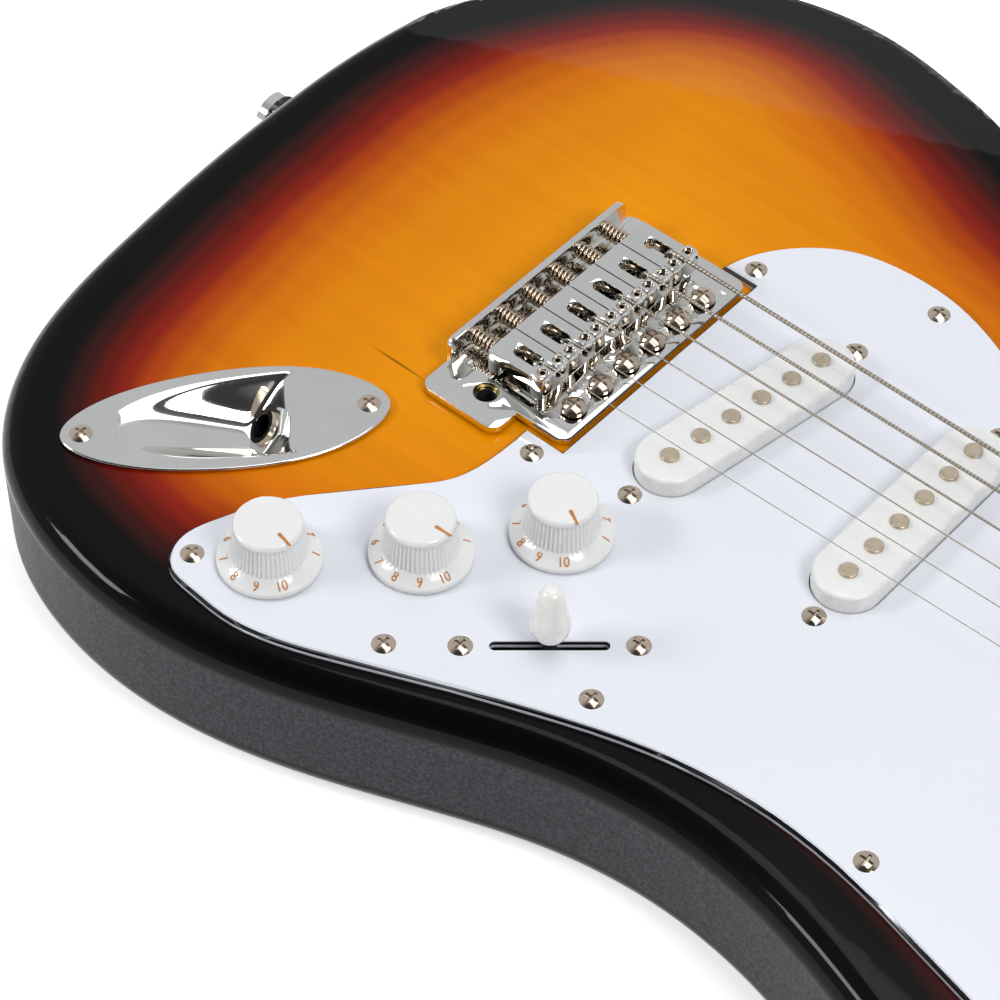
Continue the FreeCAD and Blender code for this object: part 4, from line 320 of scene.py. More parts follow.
def object_space(tree, scale=(1, 1, 1), turn=(0, 0, 0), location=(0, 0, 0)):
    place = add(tree, "TexCoord").outputs["Object"]
    return add(tree, "Mapping", {"Scale": scale, "Rotation": turn, "Location": location},
               {"Vector": place}).outputs["Vector"]


def vary_roughness(tree, shader, vector, size, low, high):
    """Lets the gloss wander a little over patches of the given size."""
    cloud = add(tree, "TexNoise", {"Scale": per(size), "Detail": 4.0}, {"Vector": vector})
    span = add(tree, "MapRange", {"From Min": 0.3, "From Max": 0.7, "To Min": low, "To Max": high},
               {"Value": cloud.outputs["Fac"]})
    tree.links.new(span.outputs["Result"], shader.inputs["Roughness"])
    return cloud


def emboss(tree, shader, height, depth, strength=1.0):
    """Raises the surface by a height socket, to a depth in millimetres."""
    bump = add(tree, "Bump", {"Strength": strength, "Distance": depth * MM}, {"Height": height})
    tree.links.new(bump.outputs["Normal"], shader.inputs["Normal"])


def roughen(tree, shader, vector, size, depth):
    """A fine bump of the given size and depth in millimetres."""
    cloud = add(tree, "TexNoise", {"Scale": per(size), "Detail": 3.0}, {"Vector": vector})
    emboss(tree, shader, cloud.outputs["Fac"], depth)


def tint(tree, shader, base, factor, low, high):
    """Multiplies a colour between two shades by a factor socket."""
    shade = add(tree, "MapRange", {"From Min": 0.25, "From Max": 0.75, "To Min": low, "To Max": high},
                {"Value": factor})
    mix = add(tree, "Mix", {"data_type": "RGBA", "blend_type": "MULTIPLY", "Factor": 1.0},
              {7: shade.outputs["Result"]})
    if isinstance(base, bpy.types.NodeSocket):
        tree.links.new(base, mix.inputs[6])
    else:
        mix.inputs[6].default_value = base
    tree.links.new(mix.outputs[2], shader.inputs["Base Color"])
    return mix


def sunburst_lacquer(look):
    """Polyester lacquer over basswood: deep gloss, sprayed from honey to black at the rim."""
    material, tree, shader = blank("sunburst_lacquer", Coat_Weight=0.15, Coat_Roughness=0.02,
                                   Specular_IOR_Level=0.05)
    away = add(tree, "Attribute", {"attribute_name": "rim_distance"})
    place = object_space(tree)
    drift = add(tree, "TexNoise", {"Scale": per(60), "Detail": 2.0}, {"Vector": place})
    spray = add(tree, "Math", {"operation": "MULTIPLY_ADD", 1: 0.06, 2: -0.03},
                {0: drift.outputs["Fac"]})
    reach = add(tree, "Math", {"operation": "ADD"},
                {0: away.outputs["Fac"], 1: spray.outputs["Value"]})
    ramp = add(tree, "ValToRGB", None, {"Fac": reach.outputs["Value"]})
    stops = [(0.0, look.edge), (0.135, look.edge), (0.19, linear("35120f")), (0.25, linear("611409")),
             (0.31, look.ember), (0.37, linear("ab4003")), (0.44, linear("c25e00")),
             (0.52, linear("d47200")), (0.66, look.amber), (1.0, linear("ea9200"))]
    elements = ramp.color_ramp.elements
    for position, code in stops[1:-1]:
        elements.new(position).color = code
    elements[0].color, elements[-1].color = stops[0][1], stops[-1][1]
    ramp.color_ramp.interpolation = "EASE"
    # Straight grain along the body: long thin streaks of slightly darker early wood.
    streaks = object_space(tree, (0.035, 1, 0.3))
    rings = add(tree, "TexNoise", {"Scale": 1 / look.grain, "Detail": 6.0, "Roughness": 0.62},
                {"Vector": streaks})
    shaded = tint(tree, shader, ramp.outputs["Color"], rings.outputs["Fac"], 0.93, 1.06)
    dark = add(tree, "Mix", {"data_type": "RGBA", 7: linear("5a2404")},
               {0: knot_line(tree), 6: shaded.outputs[2]})
    # The side wall is a satin black with a fine speckle, blended in below the rounded rim.
    split = add(tree, "SeparateXYZ", None, {"Vector": place})
    middle = (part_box("body")[0].z + FACE) / 2
    flank = add(tree, "Math", {"operation": "SUBTRACT", 1: middle}, {0: split.outputs["Z"]})
    flank = add(tree, "Math", {"operation": "ABSOLUTE"}, {0: flank.outputs["Value"]})
    edge = FACE - RIM_RADIUS - middle
    wall = add(tree, "MapRange", {"From Min": edge - 1.2 * MM, "From Max": edge + 0.4 * MM,
                                            "To Min": 1.0, "To Max": 0.0}, {"Value": flank.outputs["Value"]})
    near = add(tree, "Math", {"operation": "LESS_THAN", 1: 0.02}, {0: away.outputs["Fac"]})
    wall = add(tree, "Math", {"operation": "MULTIPLY"},
               {0: wall.outputs["Result"], 1: near.outputs["Value"]})
    speck = add(tree, "TexNoise", {"Scale": per(0.9), "Detail": 2.0}, {"Vector": place})
    speckle = add(tree, "MapRange", {"From Min": 0.35, "From Max": 0.7, "To Min": 0.55, "To Max": 1.8},
                  {"Value": speck.outputs["Fac"]})
    side = add(tree, "Mix", {"data_type": "RGBA", "blend_type": "MULTIPLY", 0: 1.0, 6: look.side},
               {7: speckle.outputs["Result"]})
    skin = add(tree, "Mix", {"data_type": "RGBA"},
               {0: wall.outputs["Value"], 6: dark.outputs[2], 7: side.outputs[2]})
    tree.links.new(skin.outputs[2], shader.inputs["Base Color"])
    gloss = add(tree, "MapRange", {"To Min": 0.1, "To Max": 0.5},
                {"Value": wall.outputs["Value"]})
    tree.links.new(gloss.outputs["Result"], shader.inputs["Roughness"])
    return material


def knot_line(tree):
    """A mask for a thin dark line, about 12 mm long, beside the bridge plate's tail corner."""
    middle = at(-34.5, -41.7)
    along, across = 1 / (11 * MM), 1 / (0.5 * MM)
    place = object_space(tree, (along, across, 0), (0, 0, 0), (-middle.x * along, -middle.y * across, 0))
    size = add(tree, "VectorMath", {"operation": "LENGTH"}, {0: place})
    return add(tree, "MapRange", {"From Min": 0.3, "From Max": 1.0, "To Min": 0.75, "To Max": 0.0},
               {"Value": size.outputs["Value"]}).outputs["Result"]


# Where the black ply begins and ends, as shares of the pickguard's thickness.
BLACK_PLY = (0.42, 0.85)


def laminated_pickguard(look):
    """Three-ply PVC: glossy white over black over white, the black showing only on the cut edge."""
    material, tree, shader = blank("three_ply_pvc", Roughness=0.16, Coat_Weight=0.5, Coat_Roughness=0.05)
    low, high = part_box("pickguard")
    rise = 1 / (high.z - low.z)
    place = object_space(tree, (1, 1, rise), (0, 0, 0), (0, 0, -low.z * rise))
    level = add(tree, "SeparateXYZ", None, {"Vector": place})
    ramp = add(tree, "ValToRGB", None, {"Fac": level.outputs["Z"]})
    ramp.color_ramp.interpolation = "CONSTANT"
    elements = ramp.color_ramp.elements
    elements[0].color = look.guard
    elements[1].position, elements[1].color = BLACK_PLY[1], look.guard
    elements.new(BLACK_PLY[0]).color = look.middle_ply
    mottle = add(tree, "TexNoise", {"Scale": per(90), "Detail": 3.0}, {"Vector": object_space(tree)})
    tint(tree, shader, ramp.outputs["Color"], mottle.outputs["Fac"], 0.985, 1.01)
    roughen(tree, shader, object_space(tree), 14, 0.008)
    return material


def moulded_plastic(name, base, roughness=0.22):
    """Injection-moulded ABS: even gloss with the faint waviness of a mould's surface."""
    material, tree, shader = blank(name, Coat_Weight=0.3, Coat_Roughness=0.08, Subsurface_Weight=0.06,
                                   Subsurface_Scale=0.002)
    place = object_space(tree)
    cloud = vary_roughness(tree, shader, place, 7, roughness * 0.85, roughness * 1.25)
    tint(tree, shader, base, cloud.outputs["Fac"], 0.985, 1.01)
    roughen(tree, shader, place, 2.5, 0.006)
    return material


def milky_plastic():
    """Unfilled ABS of the switch tip: light passes a little way into it."""
    material, tree, shader = blank("milky_abs", Subsurface_Weight=0.15, Subsurface_Scale=0.002,
                                   Coat_Weight=0.4)
    place = object_space(tree)
    cloud = vary_roughness(tree, shader, place, 4, 0.2, 0.3)
    tint(tree, shader, linear("f0f0ec"), cloud.outputs["Fac"], 0.97, 1.01)
    return material


def plated(name, base, low, high, size=18, wear=0.0):
    """Bright plating on steel: a mirror with faint polishing haze and a few fine hairlines."""
    material, tree, shader = blank(name, Metallic=1.0)
    place = object_space(tree)
    cloud = vary_roughness(tree, shader, place, size, low, high)
    tint(tree, shader, base, cloud.outputs["Fac"], 0.95 - wear, 1.03)
    hair = add(tree, "TexNoise", {"Scale": per(0.8), "Detail": 2.0},
               {"Vector": object_space(tree, (0.05, 1, 1), (0, 0, 0.5))})
    emboss(tree, shader, hair.outputs["Fac"], 0.002, 0.35)
    return material


def cast_metal(name, base, roughness):
    """Bare cast or drawn metal, with a grainy skin."""
    material, tree, shader = blank(name, Metallic=1.0)
    place = object_space(tree)
    cloud = vary_roughness(tree, shader, place, 1.2, roughness * 0.8, roughness * 1.25)
    tint(tree, shader, base, cloud.outputs["Fac"], 0.85, 1.08)
    roughen(tree, shader, place, 0.4, 0.02)
    return material


def wound_string(name, base, pitch):
    """Round wire wound on a steel core: ribs across the string at the wire's spacing, with painted shade in
    the grooves between the wraps and a painted highlight on their crests.
    """
    material, tree, shader = blank(name, Metallic=1.0, Roughness=0.32)
    place = object_space(tree)
    ribs = add(tree, "TexWave", {"wave_type": "BANDS", "bands_direction": "X",
                                           "Scale": per(pitch) / 20 * math.pi}, {"Vector": place})
    # Painted shade and highlight: the colour falls to 0.55 in the grooves between wraps and rises to 1.1 on
    # their crests.
    tint(tree, shader, base, ribs.outputs["Fac"], 0.55, 1.1)
    emboss(tree, shader, ribs.outputs["Fac"], 0.05, 0.7)
    return material


def long_grain_wood(name, light, dark, ring, roughness, coat):
    """A turned or planed plank with its grain along the neck."""
    material, tree, shader = blank(name, Coat_Weight=coat, Coat_Roughness=0.25)
    rings = add(tree, "TexNoise", {"Scale": per(ring), "Detail": 8.0, "Roughness": 0.6},
                {"Vector": object_space(tree, (0.03, 1, 1))})
    pores = add(tree, "TexNoise", {"Scale": per(0.5), "Detail": 4.0},
                {"Vector": object_space(tree, (0.04, 1, 1))})
    ramp = add(tree, "ValToRGB", None, {"Fac": rings.outputs["Fac"]})
    elements = ramp.color_ramp.elements
    elements[0].position, elements[0].color = 0.32, dark
    elements[1].position, elements[1].color = 0.64, light
    tint(tree, shader, ramp.outputs["Color"], pores.outputs["Fac"], 0.86, 1.06)
    emboss(tree, shader, pores.outputs["Fac"], 0.03, 0.5)
    vary_roughness(tree, shader, object_space(tree), 12, roughness * 0.85, roughness * 1.2)
    return material


def insulated_wire():
    """Waxed cloth over copper: dull, with the braid's fine crossing."""
    material, tree, shader = blank("waxed_cloth_wire")
    place = object_space(tree)
    cloud = vary_roughness(tree, shader, place, 2, 0.55, 0.8)
    tint(tree, shader, linear("35322e"), cloud.outputs["Fac"], 0.7, 1.2)
    roughen(tree, shader, place, 0.6, 0.08)
    return material


def coil_wire():
    """Enamelled copper wound by the thousand turns: fine level lines round the bobbin."""
    material, tree, shader = blank("enamelled_copper", Metallic=0.6, Roughness=0.4)
    lines = add(tree, "TexWave", {"wave_type": "BANDS", "bands_direction": "Z",
                                            "Scale": per(0.6) / 20 * math.pi, "Distortion": 1.5},
                {"Vector": object_space(tree)})
    tint(tree, shader, linear("5a2a14"), lines.outputs["Fac"], 0.6, 1.15)
    return material


def printed_ink(look):
    """Hot-stamped foil in a warm orange, a little uneven."""
    material, tree, shader = blank("stamped_orange_foil")
    cloud = vary_roughness(tree, shader, object_space(tree), 0.8, 0.3, 0.5)
    tint(tree, shader, look.numbers, cloud.outputs["Fac"], 0.85, 1.1)
    return material


def stage_paper(look):
    """White paper that the camera sees as plain white and that still takes the guitar's shadow."""
    material, tree, shader = blank("white_paper", Base_Color=look.floor, Roughness=0.9)
    out = tree.nodes["Material Output"]
    path = add(tree, "LightPath")
    seen = add(tree, "Math", {"operation": "MAXIMUM"},
               {0: path.outputs["Is Camera Ray"], 1: path.outputs["Is Glossy Ray"]})
    seen = add(tree, "Math", {"operation": "MAXIMUM"},
               {0: seen.outputs["Value"], 1: path.outputs["Is Transmission Ray"]})
    glow = add(tree, "Emission", {"Color": (1, 1, 1, 1), "Strength": 0.6})
    both = add(tree, "AddShader", None, {0: shader.outputs[0], 1: glow.outputs[0]})
    mix = add(tree, "MixShader", None,
              {0: seen.outputs["Value"], 1: shader.outputs[0], 2: both.outputs[0]})
    tree.links.new(mix.outputs[0], out.inputs["Surface"])
    return material


# --- body -----------------------------------------------------------------------------------------
SLICE_DEPTH = 28 * MM


def rim_loop(body):
    """The body's outline in plan, read from a slice below the neck pocket."""
    level = FACE - SLICE_DEPTH
    mesh = body.data
    points = np.array([v.co for v in mesh.vertices])
    links = {}
    for polygon in mesh.polygons:
        crossing = []
        corners = list(polygon.vertices)
        for a, b in zip(corners, corners[1:] + corners[:1]):
            za, zb = points[a][2], points[b][2]
            if (za < level) != (zb < level):
                share = (level - za) / (zb - za)
                place = points[a] + (points[b] - points[a]) * share
                crossing.append(((min(a, b), max(a, b)), place[:2]))
        if len(crossing) == 2:
            (key_a, place_a), (key_b, place_b) = crossing
            links.setdefault(key_a, (place_a, []))[1].append(key_b)
            links.setdefault(key_b, (place_b, []))[1].append(key_a)
    start = min(links, key=lambda key: links[key][0][0])
    loop, seen, here = [], set(), start
    while here not in seen:
        seen.add(here)
        loop.append(links[here][0])
        here = next((key for key in links[here][1] if key not in seen), here)
    return np.array(loop)


def plan_distance(places, loop):
    """Distance in plan of each place from a closed loop."""
    nearest = np.full(len(places), 1e9)
    for a, b in zip(loop, np.roll(loop, -1, axis=0)):
        run = b - a
        share = np.clip(((places - a) @ run) / max(run @ run, 1e-18), 0, 1)
        gap = np.linalg.norm(places - a - share[:, None] * run, axis=1)
        nearest = np.minimum(nearest, gap)
    return nearest


def true_rim(body, loop):
    """Sets the shading of the rounded rim from its true radius, so that light runs along it evenly."""
    mesh = body.data
    normals = np.zeros(len(mesh.loops) * 3, np.float32)
    mesh.corner_normals.foreach_get("vector", normals)
    normals = normals.reshape(-1, 3)
    points = np.array([v.co for v in mesh.vertices])
    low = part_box("body")[0].z
    runs = np.roll(loop, -1, axis=0) - loop
    gaps = np.full(len(points), 1e9)
    outward = np.zeros((len(points), 2))
    near = (points[:, 2] > FACE - RIM_RADIUS - 1e-5) | (points[:, 2] < low + RIM_RADIUS + 1e-5)
    ahead = np.roll(loop, -1, axis=0)
    area = np.sum(loop[:, 0] * ahead[:, 1] - ahead[:, 0] * loop[:, 1])
    sides = np.stack((runs[:, 1], -runs[:, 0]), axis=1) * (1 if area > 0 else -1)
    sides /= np.maximum(np.linalg.norm(sides, axis=1), 1e-12)[:, None]
    corners = sides + np.roll(sides, 1, axis=0)
    corners /= np.linalg.norm(corners, axis=1)[:, None]
    for start, run, first, last in zip(loop, runs, corners, np.roll(corners, -1, axis=0)):
        length = max(float(np.hypot(*run)), 1e-12)
        share = np.clip(((points[:, :2] - start) @ run) / length ** 2, 0, 1)
        offset = points[:, :2] - start - share[:, None] * run
        gap = np.linalg.norm(offset, axis=1)
        better = gap < gaps
        gaps[better] = gap[better]
        outward[better] = first + (last - first) * share[better, None]
    outward /= np.maximum(np.linalg.norm(outward, axis=1), 1e-12)[:, None]
    top = points[:, 2] > (FACE + low) / 2
    rise = np.where(top, points[:, 2] - (FACE - RIM_RADIUS), low + RIM_RADIUS - points[:, 2])
    flat = RIM_RADIUS - gaps
    radius = np.hypot(rise, flat)
    on_rim = near & (flat > -1e-5) & (rise > -0.2 * MM) & (np.abs(radius - RIM_RADIUS) < 0.45 * MM)
    level = (np.abs(points[:, 2] - FACE) < 0.02 * MM) | (np.abs(points[:, 2] - low) < 0.02 * MM)
    for polygon in mesh.polygons:
        face = np.array(polygon.normal)
        for index, vertex in zip(polygon.loop_indices, polygon.vertices):
            sign = 1 if top[vertex] else -1
            if on_rim[vertex]:
                true = np.array((outward[vertex][0] * flat[vertex], outward[vertex][1] * flat[vertex],
                                 sign * max(rise[vertex], 0))) / max(radius[vertex], 1e-9)
            elif level[vertex]:
                true = np.array((0, 0, sign))
            else:
                continue
            if true @ face > 0.75:
                normals[index] = true
    mesh.normals_split_custom_set(normals.tolist())


# The mouth of the jack's room in the wood: how far it may open to each side, and where it was wider.
MOUTH_HALF, MOUTH_WAS, MOUTH_SPAN = 14.6 * MM, 19 * MM, (30 * MM, 62 * MM)
CUP_ROOM_DEPTH = 18.5 * MM


def cup_room(body):
    """Opens the wood for the pressed cup and keeps its mouth inside the jack plate's outline."""
    tail = on_jack(0, 0, 0)
    for vertex in body.data.vertices:
        if vertex.co.z > FACE - 0.02 * MM:
            along, across = (vertex.co - tail).dot(JACK_ALONG), (vertex.co - tail).dot(JACK_ACROSS)
            if MOUTH_SPAN[0] < along < MOUTH_SPAN[1] and MOUTH_HALF < abs(across) < MOUTH_WAS:
                vertex.co -= JACK_ACROSS * (across - math.copysign(MOUTH_HALF, across))
    deselect()
    bpy.ops.mesh.primitive_circle_add(vertices=48, radius=1, fill_type="NGON")
    cutter = bpy.context.object
    for vertex in cutter.data.vertices:
        turn = math.atan2(vertex.co.y, vertex.co.x)
        along = (CUP_TIP + CUP_END) / 2 + (CUP_END - CUP_TIP) / 2 * math.cos(turn)
        side = math.sin(turn)
        across = math.copysign(float(cup_half(along)) + 1.0, side) * (abs(side) > 1e-3)
        vertex.co = on_jack(along + math.copysign(1.2, math.cos(turn)), across, 3)
    with editing(cutter, "SELECT"):
        bpy.ops.mesh.extrude_region_move(TRANSFORM_OT_translate={"value": (0, 0, -CUP_ROOM_DEPTH)})
    face_out(cutter)
    modify(body, "BOOLEAN", object=cutter, operation="DIFFERENCE", solver="EXACT")
    bpy.data.objects.remove(cutter)


class GUITAR_OT_body(bpy.types.Operator):
    """Lacquered body, cut into a fine lattice that carries the sunburst's distance from the rim"""
    bl_idname = "guitar.body"
    bl_label = "Sunburst body"

    lattice: length("Lattice", "Spacing of the lattice across the face", 4.0)

    def execute(self, context):
        body = copy_of(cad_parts["body"], "sunburst_body")
        face_out(body)
        loop = rim_loop(body)
        cup_room(body)
        low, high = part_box("body")
        with editing(body):
            for axis, way in enumerate(((1, 0, 0), (0, 1, 0))):
                count = int((high[axis] - low[axis]) / self.lattice)
                for step in range(1, count + 1):
                    place = low.copy()
                    place[axis] += step * (high[axis] - low[axis]) / (count + 1)
                    bpy.ops.mesh.select_all(action="SELECT")
                    bpy.ops.mesh.bisect(plane_co=place, plane_no=way)
        smooth(body, 50)
        modify(body, "WEIGHTED_NORMAL", keep_sharp=True)
        true_rim(body, loop)
        mesh = body.data
        places = np.array([v.co for v in mesh.vertices])[:, :2]
        attribute = mesh.attributes.new("rim_distance", "FLOAT", "POINT")
        attribute.data.foreach_set("value", (plan_distance(places, loop) / (100 * MM)).astype(np.float32))
        dress(body, sunburst_lacquer(context.scene.guitar_body), "guitar", ["body"])
        return {"FINISHED"}


# --- pickguard and pickups ------------------------------------------------------------------------
class GUITAR_OT_plastics(bpy.types.Operator):
    """Pickguard, pickup covers, magnets and their springs"""
    bl_idname = "guitar.plastics"
    bl_label = "Pickguard and pickups"

    def execute(self, context):
        look, metal = context.scene.guitar_plastic, context.scene.guitar_metal
        guard = polished("pickguard", "three_ply_pickguard")
        dress(guard, laminated_pickguard(look), "guitar", ["pickguard"])
        covers = polished("pickup_covers", "moulded_pickup_covers")
        dress(covers, moulded_plastic("moulded_covers", look.cover, 0.25), "guitar",
              ["pickup_covers"])
        paint(["pole_magnets"], cast_metal("ground_magnet_ends", metal.pole, 0.34))
        paint(["pickup_coils"], coil_wire())
        paint(["pickup_springs"], plated("spring_steel", linear("9a9a9a"), 0.2, 0.3))
        paint(["position_dots", "nut"], moulded_plastic("cast_acrylic", linear("e6e3da"), 0.3))
        paint(["back_cover"], moulded_plastic("single_ply_pvc", look.guard, 0.28))
        return {"FINISHED"}


# --- knobs ----------------------------------------------------------------------------------------
FIRST_NUMBER_ANGLE = {"volume": 22.2, "tone_1": 52.4, "tone_2": 38.9}
NUMBER_STEP = 32.2
NUMBER_SIZE, NUMBER_RADIUS, NUMBER_HEIGHT, SKIRT_SLOPE = 3.7, 11.3, 2.42, math.radians(31)
POINTER_START, POINTER_LENGTH, POINTER_HEIGHT = 4.9, 4.2, 13.6
SKIRT = [(12.7, 0.0), (13.1, 0.25), (13.1, 1.15), (12.9, 1.45), (11.6, 2.15), (10.4, 2.95), (9.75, 3.6)]
CONE = [(9.62, 3.9), (9.2, 7.2), (8.8, 10.4), (8.62, 11.8)]
CROWN = [(8.72, 12.1), (8.66, 12.8), (8.45, 13.3), (8.1, 13.55), (7.3, 13.6), (4.0, 13.55)]


def knob_shell(name, sides, centre, depth):
    """The skirted knob: a flared skirt, a ribbed cone and a smooth crown."""
    knob = turned(name, SKIRT + CONE + CROWN, sides, centre, 28)
    low = centre.z + (SKIRT[-1][1] + 0.1) * MM
    high = centre.z + (CROWN[0][1] - 0.1) * MM
    groove = 1 - depth / (CONE[0][0] * MM)

    def in_groove(vertex):
        flat = vertex.co - centre
        turn = round(math.atan2(flat.y, flat.x) / (2 * math.pi) * sides)
        return low < vertex.co.z < high and turn % 4 >= 2

    pick(knob, "VERT", in_groove)
    with editing(knob):
        bpy.ops.transform.resize(value=(groove, groove, 1), center_override=centre)
    return knob


def number_on_skirt(text, centre, angle):
    """One printed number lying on the skirt, its top toward the knob's middle."""
    out = Vector((math.cos(angle), math.sin(angle), 0))
    fall, lean = math.cos(SKIRT_SLOPE), math.sin(SKIRT_SLOPE)
    up = Vector((-out.x * fall, -out.y * fall, lean))
    normal = Vector((out.x * lean, out.y * lean, fall))
    place = centre + out * NUMBER_RADIUS * MM + Vector((0, 0, NUMBER_HEIGHT * MM))
    deselect()
    bpy.ops.object.text_add()
    label = bpy.context.object
    label.data.body = text
    label.data.size = NUMBER_SIZE * MM
    label.data.offset = 0.035 * MM
    label.data.extrude = 0.03 * MM
    label.data.align_x, label.data.align_y = "CENTER", "CENTER"
    label.data.resolution_u = 6
    bpy.ops.object.convert(target="MESH")
    right = up.cross(normal)
    turn = Matrix((right, up, normal)).transposed().to_4x4()
    label.matrix_world = Matrix.Translation(place) @ turn @ Matrix.Diagonal((0.82, 1, 1, 1))
    return settle(label)


def pointer_line(centre, angle):
    """A plain stamped line on the knob's top."""
    deselect()
    out = Vector((math.cos(angle), math.sin(angle), 0))
    place = centre + out * POINTER_START * MM + Vector((0, 0, POINTER_HEIGHT * MM))
    bpy.ops.mesh.primitive_cylinder_add(vertices=24, radius=0.5 * MM, depth=0.06 * MM, location=place)
    line = bpy.context.object
    pick(line, "VERT", lambda vertex: vertex.co.x > 1e-6)
    with editing(line):
        bpy.ops.transform.translate(value=(POINTER_LENGTH * MM, 0, 0))
        bpy.ops.transform.resize(value=(1, 0.6, 1), center_override=place)
        bpy.ops.mesh.select_all(action="SELECT")
        bpy.ops.transform.rotate(value=-angle, orient_axis="Z", center_override=place)
    return settle(line)


class GUITAR_OT_knobs(bpy.types.Operator):
    """Three skirted knobs with their printed numbers"""
    bl_idname = "guitar.knobs"
    bl_label = "Knobs"

    def execute(self, context):
        look = context.scene.guitar_plastic
        plastic = moulded_plastic("moulded_knob", look.cover, 0.2)
        ink = printed_ink(look)
        for name in KNOBS:
            low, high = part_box(name + "_knob")
            centre = Vector(((low.x + high.x) / 2, (low.y + high.y) / 2, low.z))
            knob = knob_shell(name + "_skirted_knob", 4 * look.ribs, centre, look.rib_depth)
            dress(knob, plastic, name + "_control", [name + "_knob"])
            first = math.radians(FIRST_NUMBER_ANGLE[name])
            marks = [number_on_skirt(str(count + 1), centre, first + math.radians(NUMBER_STEP) * count)
                     for count in range(10)]
            marks.append(pointer_line(centre, first - math.radians(50)))
            dress(join(marks, name + "_numbers"), ink, name + "_control")
        return {"FINISHED"}


# --- switch ---------------------------------------------------------------------------------------
# The collar starts high enough to clear the pickguard at both ends of the lever's swing.
SWITCH_TIP = [(2.2, 5.3), (2.35, 5.5), (2.35, 5.8), (2.9, 6.3), (4.0, 7.4), (4.7, 8.9), (4.98, 10.4),
              (4.95, 11.4), (4.75, 12.8), (4.4, 14.4), (4.0, 16.2), (3.65, 18.0), (3.4, 19.6),
              (3.2, 20.9), (2.85, 22.1), (2.2, 23.0), (1.3, 23.5), (0.4, 23.6)]


class GUITAR_OT_switch(bpy.types.Operator):
    """Selector switch: blade, frame and milky tip"""
    bl_idname = "guitar.switch"
    bl_label = "Switch"

    def execute(self, context):
        middle = centre_of("switch_tip")
        tip = turned("switch_tip_milky", SWITCH_TIP, 64, (middle.x, middle.y, FACE), 60)
        dress(tip, milky_plastic(), "selector", ["switch_tip"])
        paint(["switch_frame", "switch_lever"], plated("zinc_plated_steel", linear("8d8f92"), 0.28, 0.4))
        return {"FINISHED"}


# --- jack -----------------------------------------------------------------------------------------
# The jack plate's own directions: along from the tail-side screw, and across to the bass side.
TAIL_SCREW, NOSE_SCREW = (-77.3, -114.1), (-29.9, -58.1)
JACK_ALONG = (at(*NOSE_SCREW) - at(*TAIL_SCREW)).normalized()
JACK_ACROSS = Vector((-JACK_ALONG.y, JACK_ALONG.x, 0))
JACK_ENDS = (-5.4, 78.9)
JACK_OUTLINE = ((-2.0, 6.0), (6.6, 11.2), (20.0, 15.2), (36.7, 17.2), (54.0, 16.2), (68.0, 11.9), (75.6, 6.4))
CUP_TIP, CUP_END, CUP_HALF_WIDTH, CUP_FLARE = 8.0, 53.5, 13.4, math.tan(math.radians(18.2))
WALL_TILT, JACK_DEPTH = math.radians(40), 7.4
NUT_WINDOW, PLUG_BORE = 5.7 * MM, 3.36 * MM


def on_jack(along, across, z):
    return at(*TAIL_SCREW, z) + (JACK_ALONG * along + JACK_ACROSS * across) * MM


def jack_axis():
    """The middle of the jack on the cup's end wall, and the way that it faces."""
    seat = on_jack(CUP_END - JACK_DEPTH * math.sin(WALL_TILT), 0, -JACK_DEPTH * math.cos(WALL_TILT))
    return seat, (Vector((0, 0, math.sin(WALL_TILT))) - JACK_ALONG * math.cos(WALL_TILT)).normalized()


def cup_half(along):
    """Half the cup's width: a blunt tail end that swells and then runs nearly straight."""
    left = np.clip((CUP_END + 0.5 - along) / (CUP_END + 0.5 - CUP_TIP), 0, 1)
    return CUP_HALF_WIDTH * np.sqrt(1 - left ** 2.5)


def cup_depth(along, across, soft):
    """How far the pressing lies below the plate's face, in millimetres, with drawn, rounded edges."""
    half = np.maximum(cup_half(along), 0.4)
    floor = np.logaddexp(0, (along - CUP_TIP) * CUP_FLARE + 0.3)
    bowl = floor * (1 - np.abs(across / half) ** 2.6) - np.maximum(CUP_TIP + 1 - along, 0) * 2 - 0.5
    wall = (CUP_END - along) / math.tan(WALL_TILT)
    lowest = -soft * np.logaddexp(-np.maximum(bowl, -30) / soft, -np.maximum(wall, -30) / soft)
    return soft * np.logaddexp(0, lowest / soft)


